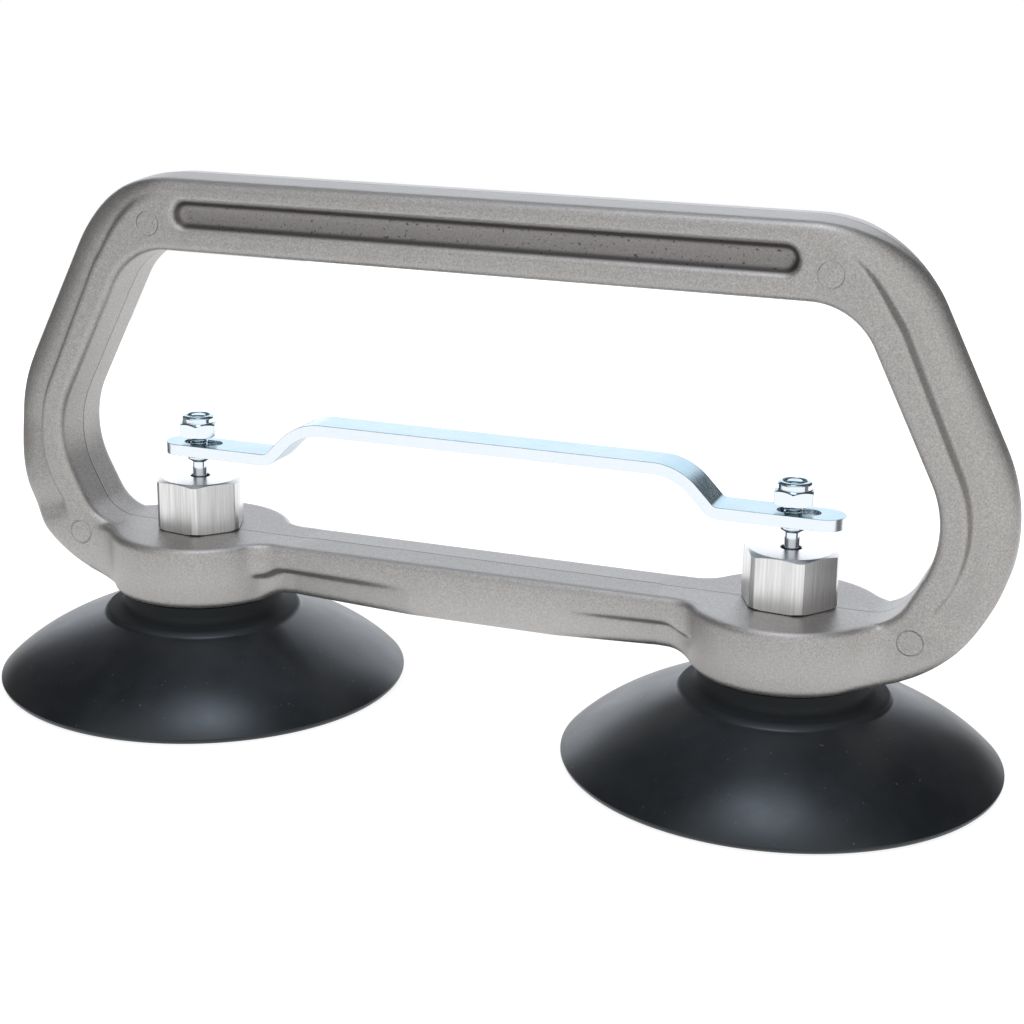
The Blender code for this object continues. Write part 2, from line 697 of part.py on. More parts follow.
def make_insert(side, x):
    """The steel plate inside the cup, its threaded bush and the raised valve seat."""
    bore = SHANK_RADIUS + THREAD_GAP
    top = SEAT_FLOOR + BUSH_HEIGHT
    lip = SEAT_HOLE_RADIUS + SEAT_LIP_WIDTH
    profile = [
        (bore, top),
        (BUSH_RADIUS, top),
        (BUSH_RADIUS, SEAT_FLOOR),
        (INSERT_PLATE_RADIUS, SEAT_FLOOR),
        (INSERT_PLATE_RADIUS, INSERT_FLOOR),
        (SEAT_HOLE_RADIUS, INSERT_FLOOR),
        (SEAT_HOLE_RADIUS, SEAT_TOP),
        (lip, SEAT_TOP),
        (lip + SEAT_LIP_HEIGHT / 2, SEAT_FLOOR),
        (bore, SEAT_FLOOR),
    ]
    return turned(side + "_cup_insert", profile, x, 20, True)


def make_valve_body(side, x, cutters):
    """A hollow hexagon whose threaded shank clamps the boss to the cup."""
    corner = HEX_ACROSS_FLATS / sqrt(3)
    shank_end = HEX_BASE - SHANK_LENGTH
    profile = [
        (VENT_RADIUS, HEX_TOP),
        (HEX_FACE_RADIUS, HEX_TOP),
        (corner, HEX_TOP - HEX_CHAMFER_HEIGHT),
        (corner, HEX_BASE + HEX_CHAMFER_HEIGHT / 3),
        (HEX_BASE_RADIUS, HEX_BASE),
        (SHANK_RADIUS, HEX_BASE),
        (SHANK_RADIUS, shank_end + SHANK_CHAMFER),
        (SHANK_RADIUS - SHANK_CHAMFER, shank_end),
        (CHAMBER_RADIUS, shank_end),
        (CHAMBER_RADIUS, CHAMBER_ROOF),
        (VENT_RADIUS, CHAMBER_ROOF),
    ]
    blank = link_cutter(turned(side + "_valve_body_blank", profile, x, 24, True), cutters)
    outline = hexagon(x, HEX_ACROSS_FLATS, HEX_TURNS[side])
    body = prism(side + "_valve_body", outline, shank_end - REACH, HEX_TOP + REACH, "Z")
    bevel(body, HEX_EDGE_BREAK, 1, radians(40))
    boolean(body, blank, "INTERSECT")
    return body


def make_poppet(side, x):
    """The disc and hub that carry the seal, riveted on the stem's tenon."""
    tenon_hole = TENON_RADIUS + SEAT_GAP
    nub_hole = SEAL_NUB_RADIUS + SEAT_GAP
    nub_roof = SEAL_TOP + SEAL_NUB_HEIGHT + SEAT_GAP
    profile = [
        (0.0, ROD_BOTTOM - TENON_LENGTH - SEAT_GAP),
        (tenon_hole, ROD_BOTTOM - TENON_LENGTH - SEAT_GAP),
        (tenon_hole, POPPET_TOP),
        (POPPET_HUB_RADIUS, POPPET_TOP),
        (POPPET_HUB_RADIUS, POPPET_SHELF),
        (POPPET_RADIUS, POPPET_SHELF),
        (POPPET_RADIUS, POPPET_BOTTOM),
        (nub_hole, POPPET_BOTTOM),
        (nub_hole, nub_roof),
        (0.0, nub_roof),
    ]
    return turned(side + "_valve_poppet", profile, x, 18, False)


def make_seal(side, x):
    """The rubber disc that closes the seat, with the nub that holds it in the poppet."""
    profile = [
        (0.0, SEAL_TOP + SEAL_NUB_HEIGHT),
        (SEAL_NUB_RADIUS, SEAL_TOP + SEAL_NUB_HEIGHT),
        (SEAL_NUB_RADIUS, SEAL_TOP),
        (SEAL_RADIUS, SEAL_TOP),
        (SEAL_RADIUS, SEAL_BOTTOM),
        (0.0, SEAL_BOTTOM),
    ]
    return turned(side + "_valve_seal", profile, x, 18, False)


def make_stem(side, x):
    """The rod through the vent, with the collar under the bar and the thread for the nut."""
    top = NUT_TOP - THREAD_CHAMFER
    cone_top = COLLAR_TOP - COLLAR_LENGTH
    profile = [
        (0.0, top),
        (THREAD_RADIUS - THREAD_CHAMFER, top),
        (THREAD_RADIUS, top - THREAD_CHAMFER),
        (THREAD_RADIUS, COLLAR_TOP),
        (COLLAR_RADIUS, COLLAR_TOP),
        (COLLAR_RADIUS, cone_top),
        (ROD_RADIUS, cone_top - COLLAR_CONE),
        (ROD_RADIUS, ROD_BOTTOM),
        (TENON_RADIUS, ROD_BOTTOM),
        (TENON_RADIUS, ROD_BOTTOM - TENON_LENGTH),
        (0.0, ROD_BOTTOM - TENON_LENGTH),
    ]
    return turned(side + "_valve_stem", profile, x, 18, False)


def make_spring(side, x):
    """A compression spring with closed ends between the poppet and the chamber's roof."""
    low = POPPET_SHELF + SEAT_GAP + SPRING_WIRE / 2
    high = CHAMBER_ROOF - SEAT_GAP - SPRING_WIRE / 2
    closed = 1.12 * SPRING_WIRE * SPRING_END_COILS
    active = SPRING_COILS - 2 * SPRING_END_COILS
    count = SPRING_COILS * SPRING_STEPS
    points = []
    for i in range(count + 1):
        turn = i / SPRING_STEPS
        rise = closed * min(turn / SPRING_END_COILS, 1.0)
        rise += (high - low - 2 * closed) * min(max((turn - SPRING_END_COILS) / active, 0.0), 1.0)
        rise += closed * max((turn - SPRING_COILS + SPRING_END_COILS) / SPRING_END_COILS, 0.0)
        a = 2 * pi * turn
        points.append((SPRING_RADIUS * cos(a), SPRING_RADIUS * sin(a), low + rise))
    curve = bpy.data.curves.new(side + "_valve_spring", "CURVE")
    curve.dimensions = "3D"
    curve.bevel_depth = SPRING_WIRE / 2
    curve.bevel_resolution = 2
    curve.use_fill_caps = True
    spline = curve.splines.new("POLY")
    spline.points.add(len(points) - 1)
    for point, place in zip(spline.points, points):
        point.co = (*place, 1)
    spring = bpy.data.objects.new(side + "_valve_spring", curve)
    spring.location = (x, 0, 0)
    return spring


def bar_centreline():
    """Middle of the strap's thickness in side view, from the left end to the right end."""
    low = BAR_UNDERSIDE + BAR_THICKNESS / 2
    high = low + BAR_RISE
    lean = BAR_RISE / 2 / tan(BAR_BEND_ANGLE)
    end = BAR_LENGTH / 2 + REACH
    foot = BAR_BEND_HALF + lean
    knee = BAR_BEND_HALF - lean
    half = [(0.0, high)]
    half += [tuple(p) for p in corner_arc((0, high), (knee, high), (foot, low), BAR_UPPER_BEND, 5)]
    half += [tuple(p) for p in corner_arc((knee, high), (foot, low), (end, low), BAR_LOWER_BEND, 5)]
    half.append((end, low))
    return [(-a, b) for a, b in reversed(half[1:])] + half


def offset_line(points, distance):
    """A line parallel to an open line, at a distance to its left."""
    points = [Vector(point) for point in points]
    moved = []
    for i, point in enumerate(points):
        before = points[max(i - 1, 0)]
        after = points[min(i + 1, len(points) - 1)]
        along = ((point - before).normalized() + (after - point).normalized()).normalized()
        moved.append(point + Vector((-along.y, along.x)) * distance)
    return [tuple(point) for point in moved]


def make_release_bar(cutters):
    """A flat strap, raised in the middle for the fingers, with a slot over each stem."""
    centre = [(BAR_OFFSET + BAR_BEND_OFFSET + a, b) for a, b in bar_centreline()]
    upper = offset_line(centre, BAR_THICKNESS / 2)
    lower = offset_line(centre, -BAR_THICKNESS / 2)
    bar = prism("release_bar", upper + lower[::-1], -BAR_WIDTH, BAR_WIDTH, "Y")
    plan = stadium((BAR_OFFSET, 0), BAR_LENGTH / 2, BAR_WIDTH / 2, 10)
    blank = prism("release_bar_plan", plan, BAR_UNDERSIDE - REACH, BAR_TOP + BAR_RISE + REACH, "Z")
    boolean(bar, link_cutter(blank, cutters), "INTERSECT")
    for side, x in SIDES.items():
        outline = stadium((x + BAR_OFFSET, 0), SLOT_LENGTH / 2, SLOT_WIDTH / 2, 8)
        slot = prism(side + "_slot", outline, BAR_UNDERSIDE - REACH, BAR_TOP + REACH, "Z")
        boolean(bar, link_cutter(slot, cutters), "DIFFERENCE")
    return bar


def make_lock_nut(side, x, cutters):
    """A hexagon nut with a round collar, rolled over the plastic ring inside it."""
    bore = THREAD_RADIUS + THREAD_GAP
    corner = NUT_ACROSS_FLATS / sqrt(3)
    shoulder = NUT_BOTTOM + NUT_HEX_HEIGHT
    ring_floor = NUT_TOP - NUT_LIP_THICKNESS - NUT_RING_HEIGHT - 2 * SEAT_GAP
    pocket = NUT_RING_RADIUS + SEAT_GAP
    profile = [
        (NUT_LIP_RADIUS, NUT_TOP),
        (NUT_COLLAR_RADIUS - NUT_COLLAR_ROUNDING, NUT_TOP),
        (NUT_COLLAR_RADIUS - 0.3 * NUT_COLLAR_ROUNDING, NUT_TOP - 0.3 * NUT_COLLAR_ROUNDING),
        (NUT_COLLAR_RADIUS, NUT_TOP - NUT_COLLAR_ROUNDING),
        (NUT_COLLAR_RADIUS, shoulder),
        (corner, shoulder - NUT_CORNER_CHAMFER),
        (corner, NUT_BOTTOM + NUT_CORNER_CHAMFER / 2),
        (NUT_ACROSS_FLATS / 2, NUT_BOTTOM),
        (bore, NUT_BOTTOM),
        (bore, ring_floor),
        (pocket, ring_floor),
        (pocket, NUT_TOP - NUT_LIP_THICKNESS),
        (NUT_LIP_RADIUS, NUT_TOP - NUT_LIP_THICKNESS),
    ]
    blank = link_cutter(turned(side + "_nut_blank", profile, x, 18, True), cutters)
    outline = hexagon(x, NUT_ACROSS_FLATS, NUT_TURNS[side])
    nut = prism(side + "_lock_nut", outline, NUT_BOTTOM - REACH, NUT_TOP + REACH, "Z")
    boolean(nut, blank, "INTERSECT")
    return nut


def make_nut_ring(side, x):
    """The plastic ring that grips the thread."""
    bore = THREAD_RADIUS + THREAD_GAP
    top = NUT_TOP - NUT_LIP_THICKNESS - SEAT_GAP
    bottom = top - NUT_RING_HEIGHT
    profile = [(bore, top), (NUT_RING_RADIUS, top), (NUT_RING_RADIUS, bottom), (bore, bottom)]
    return turned(side + "_lock_nut_ring", profile, x, 16, True)


def joint_empty(name, place, parts):
    empty = bpy.data.objects.new(name, None)
    empty.location = place
    empty.empty_display_size = 0.01
    parts.objects.link(empty)
    return empty


def build():
    clear_scene()
    parts = new_collection("double_suction_cup_lifter")
    cutters = new_collection("cutters")
    cups = joint_empty("cups_on_the_sheet", (0, 0, 0), parts)
    press = joint_empty("handle_press", (0, 0, BOSS_BOTTOM), parts)
    link_part(make_handle(cutters), parts, press, CAST_ALUMINIUM)
    for side, x in SIDES.items():
        lift = joint_empty(side + "_stem_lift", (x, 0, COLLAR_TOP), parts)
        link_part(make_cup(side, x), parts, cups, RUBBER)
        link_part(make_insert(side, x), parts, press, SPRING_STEEL)
        link_part(make_valve_body(side, x, cutters), parts, press, BRIGHT_ALUMINIUM)
        link_part(make_spring(side, x), parts, press, SPRING_STEEL)
        link_part(make_stem(side, x), parts, lift, ZINC)
        link_part(make_poppet(side, x), parts, lift, ZINC)
        link_part(make_seal(side, x), parts, lift, RUBBER)
        link_part(make_lock_nut(side, x, cutters), parts, lift, ZINC)
        link_part(make_nut_ring(side, x), parts, lift, NYLON)
    bar_lift = joint_empty("release_bar_lift", (SIDES["left"], 0, BAR_UNDERSIDE), parts)
    link_part(make_release_bar(cutters), parts, bar_lift, ZINC)


build()
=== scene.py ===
"""Looks of the double suction cup lifter: fine surfaces, materials, light and camera.

Metres, +Z up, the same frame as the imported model. The fine pieces stand on the sizes of the solids
that they replace.
"""
from collections import namedtuple
from math import acos, asin, cos, pi, radians, sin, sqrt, tan

import bmesh
import bpy
import numpy as np
from mathutils import Matrix, Vector


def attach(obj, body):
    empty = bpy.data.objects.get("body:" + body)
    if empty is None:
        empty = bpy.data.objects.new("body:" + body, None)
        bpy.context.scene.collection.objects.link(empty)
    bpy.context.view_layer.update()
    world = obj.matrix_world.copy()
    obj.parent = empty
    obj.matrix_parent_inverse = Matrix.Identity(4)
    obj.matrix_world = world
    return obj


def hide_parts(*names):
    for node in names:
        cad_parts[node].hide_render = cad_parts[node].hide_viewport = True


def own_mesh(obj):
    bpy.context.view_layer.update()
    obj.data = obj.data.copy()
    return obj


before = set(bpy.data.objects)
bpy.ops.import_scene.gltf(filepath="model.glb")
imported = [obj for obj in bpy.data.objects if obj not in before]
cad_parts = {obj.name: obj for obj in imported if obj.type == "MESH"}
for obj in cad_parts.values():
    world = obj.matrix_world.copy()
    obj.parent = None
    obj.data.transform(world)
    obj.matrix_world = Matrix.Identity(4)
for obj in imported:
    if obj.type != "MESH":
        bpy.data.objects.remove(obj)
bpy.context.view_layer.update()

# Places of the cups along X, and the gap that seated pieces keep
SIDES = {"left": -0.09525, "right": 0.09525}
GAP = 0.0003

# Heights of the pieces over each cup
CUP_HEIGHT = 0.0290
BOSS_BOTTOM = CUP_HEIGHT + GAP
BOSS_TOP = BOSS_BOTTOM + 0.0194
POPPET_SHELF = 0.0304
ROD_BOTTOM = 0.0359
HEX_BASE = BOSS_TOP + GAP
HEX_TOP = HEX_BASE + 0.0159
CHAMBER_ROOF = HEX_TOP - 0.0035
COLLAR_TOP = HEX_TOP + 0.0070
BAR_UNDERSIDE = COLLAR_TOP + GAP
BAR_THICKNESS = 0.0036
BAR_TOP = BAR_UNDERSIDE + BAR_THICKNESS
NUT_BOTTOM = BAR_TOP + 0.0021
NUT_TOP = NUT_BOTTOM + 0.0067


def new_object(name, mesh, smooth_angle=40):
    item = bpy.data.objects.new(name, mesh)
    bpy.context.scene.collection.objects.link(item)
    mesh.shade_smooth()
    mesh.set_sharp_from_angle(angle=radians(smooth_angle))
    return item


def baked(item, name, smooth_angle=40):
    """The object with its modifiers applied, under a new name."""
    bpy.context.view_layer.update()
    evaluated = item.evaluated_get(bpy.context.evaluated_depsgraph_get())
    mesh = bpy.data.meshes.new_from_object(evaluated)
    bpy.data.objects.remove(item)
    return new_object(name, mesh, smooth_angle)


def weighted(item):
    """The object with normals that keep flat faces flat, so that only the narrow roundings blend."""
    item.modifiers.new("weighted", "WEIGHTED_NORMAL").keep_sharp = True
    bpy.context.view_layer.update()
    graph = bpy.context.evaluated_depsgraph_get()
    mesh = bpy.data.meshes.new_from_object(
        item.evaluated_get(graph), preserve_all_data_layers=True, depsgraph=graph
    )
    item.modifiers.clear()
    item.data = mesh
    return item


def grid_mesh(name, rows, close_rows=True, close_columns=True, caps=False):
    """A quad mesh through rows of points."""
    rows = np.asarray(rows, dtype=float)
    count, width = rows.shape[:2]
    faces = []
    for i in range(count if close_rows else count - 1):
        j = (i + 1) % count
        for k in range(width if close_columns else width - 1):
            m = (k + 1) % width
            faces.append((i * width + k, i * width + m, j * width + m, j * width + k))
    if caps:
        faces.append(tuple(range(width)))
        faces.append(tuple((count - 1) * width + k for k in reversed(range(width))))
    mesh = bpy.data.meshes.new(name)
    mesh.from_pydata(rows.reshape(-1, 3).tolist(), [], faces)
    work = bmesh.new()
    work.from_mesh(mesh)
    bmesh.ops.remove_doubles(work, verts=work.verts, dist=1e-6)
    bmesh.ops.recalc_face_normals(work, faces=work.faces)
    work.to_mesh(mesh)
    work.free()
    return mesh


def revolve(name, profile, x, steps, smooth_angle=40):
    """A body turned about the vertical axis at x, from a closed profile of (radius, z) points."""
    rows = []
    for i in range(steps):
        a = 2 * pi * i / steps
        rows.append([(x + r * cos(a), r * sin(a), z) for r, z in profile])
    return new_object(name, grid_mesh(name, rows), smooth_angle)


def prism(name, outline, low, high, axis="Z"):
    """A closed outline with thickness, along Z or along Y."""
    if axis == "Z":
        rows = [[(a, b, z) for a, b in outline] for z in (low, high)]
    else:
        rows = [[(a, y, b) for a, b in outline] for y in (low, high)]
    return new_object(name, grid_mesh(name, rows, close_rows=False, caps=True))


def boolean(item, tool, operation):
    cut = item.modifiers.new(tool.name, "BOOLEAN")
    cut.operation = operation
    cut.solver = "EXACT"
    cut.object = tool


def bevel(item, width, segments, angle):
    soft = item.modifiers.new("rounding", "BEVEL")
    soft.width = width
    soft.segments = segments
    soft.limit_method = "ANGLE"
    soft.angle_limit = radians(angle)


def clamp(t):
    return min(max(t, 0.0), 1.0)


def smooth(t):
    t = clamp(t)
    return t * t * (3 - 2 * t)


def arc(centre, radius, start, end, steps):
    """Points of an arc, angles in degrees from the first axis."""
    points = []
    for i in range(steps + 1):
        a = radians(start + (end - start) * i / steps)
        points.append((centre[0] + radius * cos(a), centre[1] + radius * sin(a)))
    return points


def bezier(start, control, end, steps):
    points = []
    for i in range(steps + 1):
        t = i / steps
        a, b, c = (1 - t) ** 2, 2 * t * (1 - t), t * t
        points.append(tuple(a * p + b * q + c * r for p, q, r in zip(start, control, end)))
    return points


def corner_arc(before, corner, after, radius, steps):
    """The arc that rounds a corner between two straight lines, both ends included."""
    before, corner, after = Vector(before), Vector(corner), Vector(after)
    into = (before - corner).normalized()
    out = (after - corner).normalized()
    half = acos(max(-1.0, min(1.0, into.dot(out)))) / 2
    centre = corner + (into + out).normalized() * (radius / sin(half))
    start = corner + into * (radius / tan(half)) - centre
    turn = pi - 2 * half
    if into.x * out.y - into.y * out.x > 0:
        turn = -turn
    points = []
    for i in range(steps + 1):
        a = turn * i / steps
        x = start.x * cos(a) - start.y * sin(a)
        y = start.x * sin(a) + start.y * cos(a)
        points.append(centre + Vector((x, y)))
    return points


def stadium(centre, half_length, half_width, steps):
    """A long outline with full round ends."""
    x, y = centre
    run = half_length - half_width
    points = []
    for sign in (1, -1):
        for i in range(steps + 1):
            a = -pi / 2 + pi * i / steps
            points.append((x + sign * (run + half_width * cos(a)), y + sign * half_width * sin(a)))
    return points


def hexagon(x, across_flats, turn):
    reach = across_flats / sqrt(3)
    return [(x + reach * sin(turn + i * pi / 3), -reach * cos(turn + i * pi / 3)) for i in range(6)]


# Cast handle: the loop and its window
HALF_DEPTH = 0.01215
PROUD = 0.00005
FLOOR = BOSS_TOP - PROUD
CEILING = FLOOR + 0.08885
WINDOW_TOP_HALF = 0.1112
WINDOW_KNEE_HALF = 0.1414
WINDOW_KNEE_HEIGHT = 0.0284
WINDOW_FOOT_HALF = 0.1268
GRIP_HEIGHT = 0.0225
GRIP_MIDDLE = CEILING + GRIP_HEIGHT / 2
LEG_WIDTH = 0.0204
BAR_HEIGHT = 0.0166
PAD_OFFSET = 0.0050
PAD_HALF = 0.0230
OUTER_FOOT_RADIUS = 0.0440
# Inner radius, outer radius and steps of the top, knee and foot corners
CORNERS = ((0.0205, 0.0410, 34), (0.0300, 0.0500, 24), (0.0136, OUTER_FOOT_RADIUS, 22))
# How far the loop shrinks inside a boss
CORE = 0.0020

# Cast handle: the T-shaped section, a deep flange round the window and a thinner rib outside it
EDGE = 0.0022
FLANGE = 0.0078
STEP_EDGE = 0.0009
RIB = 0.0080
GRIP_ROUNDING = 0.0034
# Place across the step from flange to rib, and share of its depth
STEP_SHAPE = ((-0.9, 0.02), (-0.3, 0.1), (0.1, 0.3), (0.5, 0.62), (0.9, 0.86), (1.3, 0.97), (1.8, 1.0))
# Half depth of the flange, its width, half depth of the rib, its rounding, and how far both sides bulge
Section = namedtuple("Section", "depth flange rib rounding inner_crown outer_crown")
LEG_SECTION = Section(HALF_DEPTH, FLANGE, RIB, 0.0074, 0.0006, 0.0)
UPPER_LEG_SECTION = LEG_SECTION._replace(flange=FLANGE + 0.0013)
GRIP_SECTION = Section(HALF_DEPTH, 0.0169, HALF_DEPTH, GRIP_ROUNDING, 0.0006, 0.0006)
FOOT_SECTION = Section(HALF_DEPTH, FLANGE, HALF_DEPTH, EDGE, 0.0, 0.0)
BAR_SECTION = Section(HALF_DEPTH, FLANGE, RIB, EDGE, 0.0003, 0.0)
PAD_SECTION = BAR_SECTION._replace(rib=HALF_DEPTH)
CORE_SECTION = FOOT_SECTION._replace(depth=HALF_DEPTH - CORE, rib=HALF_DEPTH - CORE)

# Cast handle: the bosses
BOSS_RADIUS = 0.0288
BOSS_BORE = 0.0100
BOSS_DRAFT = 0.0008
BAR_FILLET = 0.0090
LEG_FILLET = 0.0140
FLARE = 0.0088
STEP_DROP = 0.0022
STEP_RUN = 0.0062
CUP_NECK_RADIUS = 0.0252

# Cast handle: the grooves in the grip, and how much their outline grows at each depth
GROOVE_HALF_LENGTH = 0.0950
GROOVE_HALF_HEIGHT = 0.0036
GROOVE_SHAPE = (
    (-0.0020, 0.0016),
    (-0.0002, 0.0016),
    (0.0006, 0.0009),
    (0.0012, 0.0001),
    (0.0021, -0.0003),
    (0.0028, -0.0011),
    (0.0031, -0.0022),
)


def blend(a, b, t):
    return Section(*(p + (q - p) * t for p, q in zip(a, b)))


def section_ring(inner, outer, section):
    """The T-shaped section, with a soft ridge and a soft hollow at the step from flange to rib."""
    width = (outer - inner).length
    across = (outer - inner) / width
    tip = width - section.outer_crown
    reach = section.rounding + 0.85 * max(0.0, section.rounding - GRIP_ROUNDING)
    shoulder = max(tip - reach, section.flange + 2 * STEP_EDGE)
    step = section.depth - section.rib
    half = [(-section.inner_crown * (1 - t), t * (section.depth - EDGE)) for t in (0.33, 0.66)]
    for i in range(7):
        a = pi / 2 * i / 6
        half.append((EDGE * (1 - cos(a)), section.depth - EDGE * (1 - sin(a))))
    half += [(EDGE + (section.flange - 2 * STEP_EDGE - EDGE) * t, section.depth) for t in (0.33, 0.66, 1.0)]
    for t, share in STEP_SHAPE:
        half.append((section.flange + t * STEP_EDGE, section.depth - share * step))
    for i in range(10):
        a = pi / 2 * i / 9
        half.append((shoulder + (tip - shoulder) * sin(a), section.rib - section.rounding * (1 - cos(a))))
    ring = [(-section.inner_crown, 0.0)] + half + [(width, 0.0)] + [(n, -y) for n, y in reversed(half)]
    return [(inner.x + across.x * n, y, inner.y + across.y * n) for n, y in ring]


def loop_corners():
    """Corners of the window and of the outline round it, from the grip's middle down the right side."""
    inner = [
        Vector((0, CEILING)),
        Vector((WINDOW_TOP_HALF, CEILING)),
        Vector((WINDOW_KNEE_HALF, FLOOR + WINDOW_KNEE_HEIGHT)),
        Vector((WINDOW_FOOT_HALF, FLOOR)),
        Vector((0, FLOOR)),
    ]
    upper = (inner[2] - inner[1]).normalized()
    lower = (inner[3] - inner[2]).normalized()
    upper_shift = Vector((-upper.y, upper.x)) * LEG_WIDTH
    lower_shift = Vector((-lower.y, lower.x)) * LEG_WIDTH
    top = inner[1] + upper_shift
    top += upper * ((CEILING + GRIP_HEIGHT - top.y) / upper.y)
    bend = (upper_shift + lower_shift).normalized()
    knee = inner[2] + bend * (LEG_WIDTH / bend.dot(upper_shift.normalized()))
    foot = inner[3] + lower_shift
    foot += lower * ((BOSS_BOTTOM + PROUD - foot.y) / lower.y)
    outer = [Vector((0, CEILING + GRIP_HEIGHT)), top, knee, foot, Vector((0, BOSS_BOTTOM + PROUD))]
    return inner, outer


def upper_stations():
    """Stations from the middle of the grip down the right leg, with a last one inside the boss."""
    inner, outer = loop_corners()
    stations = [(inner[0], outer[0], GRIP_SECTION)]
    for i, (inner_radius, outer_radius, steps) in enumerate(CORNERS):
        near = corner_arc(*inner[i:i + 3], inner_radius, steps)
        far = corner_arc(*outer[i:i + 3], outer_radius, steps)
        for k in range(steps + 1):
            t = k / steps
            section = (
                blend(GRIP_SECTION, UPPER_LEG_SECTION, smooth(1.1 * t)),
                blend(LEG_SECTION, FOOT_SECTION, 0.6 * smooth(1.7 * t - 0.7)),
                blend(LEG_SECTION, FOOT_SECTION, 0.6 + 0.4 * smooth(4 * t)),
            )[i]
            stations.append((near[k], far[k], section))
    near, far = stations[-1][:2]
    inboard, inset = Vector((-2 * CORE, 0)), Vector((0, CORE))
    stations.append((near + inboard - inset, far + inboard + inset, CORE_SECTION))
    return stations


def boss_run(fillet, neck):
    """Distance from a boss's axis at which its fillet meets a neck of this half depth."""
    return sqrt((BOSS_RADIUS + fillet) ** 2 - (neck + fillet) ** 2)


def bar_stations():
    """Stations of the lower bar. The step under the flange fades from the bosses to the flush pad."""
    bottom = FLOOR - BAR_HEIGHT
    end = SIDES["right"] - boss_run(BAR_FILLET, RIB) - PROUD - EDGE
    plain = BAR_SECTION._replace(inner_crown=0.0)
    core = Section(HALF_DEPTH - CORE, FLANGE - 1.5 * CORE, RIB - CORE, EDGE, 0.0, 0.0)
    halves = []
    for sign in (1, -1):
        pad = PAD_OFFSET + sign * PAD_HALF
        half = [(sign * (end + CORE / 4), plain), (sign * (end - CORE / 4), plain)]
        for i in range(1, 11):
            t = i / 10
            half.append((sign * end + (pad - sign * end) * t, blend(BAR_SECTION, PAD_SECTION, t)))
        halves.append(half)
    places = halves[0] + halves[1][::-1]
    stations = [(Vector((x, FLOOR)), Vector((x, bottom)), section) for x, section in places]
    for sign, place, station in ((1, 0, stations[0]), (-1, len(stations) + 1, stations[-1])):
        inboard = Vector((2 * sign * CORE, -CORE))
        stations.insert(place, (station[0] + inboard, station[1] + Vector((inboard.x, CORE)), core))
    return stations


def step_drop(a):
    """How far the flange's lower edge bends down into the round of the boss."""
    return STEP_DROP * smooth((a + boss_run(BAR_FILLET, RIB)) / STEP_RUN) * smooth(1 - a / 0.02)


def boss_draft(z):
    return BOSS_DRAFT * (BOSS_TOP - z) / (BOSS_TOP - BOSS_BOTTOM)


def boss_half_depth(a, shrink, draft, bar_neck):
    """Half depth of the boss at a, measured from its axis, below 0 towards the lower bar."""
    fillet, neck = (BAR_FILLET, bar_neck) if a < 0 else (LEG_FILLET, HALF_DEPTH)
    radius = BOSS_RADIUS - shrink - draft
    width = neck + PROUD - shrink
    bend = fillet + shrink
    run = sqrt((radius + bend) ** 2 - (width + bend) ** 2)
    if abs(a) < run * radius / (radius + bend):
        return sqrt(radius ** 2 - a ** 2)
    return width + bend - sqrt(bend ** 2 - max(0.0, run - abs(a)) ** 2)


def boss_underside(a, foot_arc):
    """Height of the underside: flat over the cup's neck, flared to the bar, and along the leg's foot."""
    bar = FLOOR - BAR_HEIGHT - PROUD
    flat = CUP_NECK_RADIUS + GAP
    if a < -flat:
        t = max(0.0, 1 + (a + flat) / FLARE)
        return bar + (BOSS_BOTTOM - bar) * t * t
    x = SIDES["right"] + a
    for far, near in zip(foot_arc, foot_arc[1:]):
        if near.x <= x <= far.x:
            return near.y + (far.y - near.y) * (x - near.x) / (far.x - near.x) - PROUD
    return BOSS_BOTTOM


def boss_rings():
    """Plans of half a boss at falling heights: the rounded top, the step of the flange, the underside."""
    foot_arc = corner_arc(*loop_corners()[1][2:5], OUTER_FOOT_RADIUS, 60)
    bar_run = boss_run(BAR_FILLET, RIB)
    leg_run = boss_run(LEG_FILLET, HALF_DEPTH)
    places = list(np.linspace(-bar_run - EDGE - PROUD, -bar_run, 3)[:-1])
    places += list(np.linspace(-bar_run, -BOSS_RADIUS * 0.9, 14)[:-1])
    places += [BOSS_RADIUS * sin(t) for t in np.linspace(-asin(0.9), asin(0.85), 60)]
    places += list(np.linspace(BOSS_RADIUS * 0.85, leg_run + EDGE / 2, 14)[1:])
    rings = []
    for i in range(7):
        t = pi / 2 * i / 6
        shrink = EDGE * (1 - sin(t))
        z = BOSS_TOP - EDGE * (1 - cos(t))
        rings.append([(a, boss_half_depth(a, shrink, boss_draft(z), HALF_DEPTH), z) for a in places])
    for t, share in ((-2.0, 0.0), *STEP_SHAPE):
        neck = HALF_DEPTH - share * (HALF_DEPTH - RIB)
        z = FLOOR - FLANGE - t * STEP_EDGE - PROUD
        rings.append([(a, boss_half_depth(a, 0.0, boss_draft(z), neck), z - step_drop(a)) for a in places])
    for i in range(8):
        t = pi / 2 * i / 7
        shrink = EDGE * (1 - cos(t))
        rise = EDGE * (1 - sin(t))
        ring = []
        for a in places:
            ring.append((a, boss_half_depth(a, shrink, BOSS_DRAFT, RIB), boss_underside(a, foot_arc) + rise))
        rings.append(ring)
    return rings


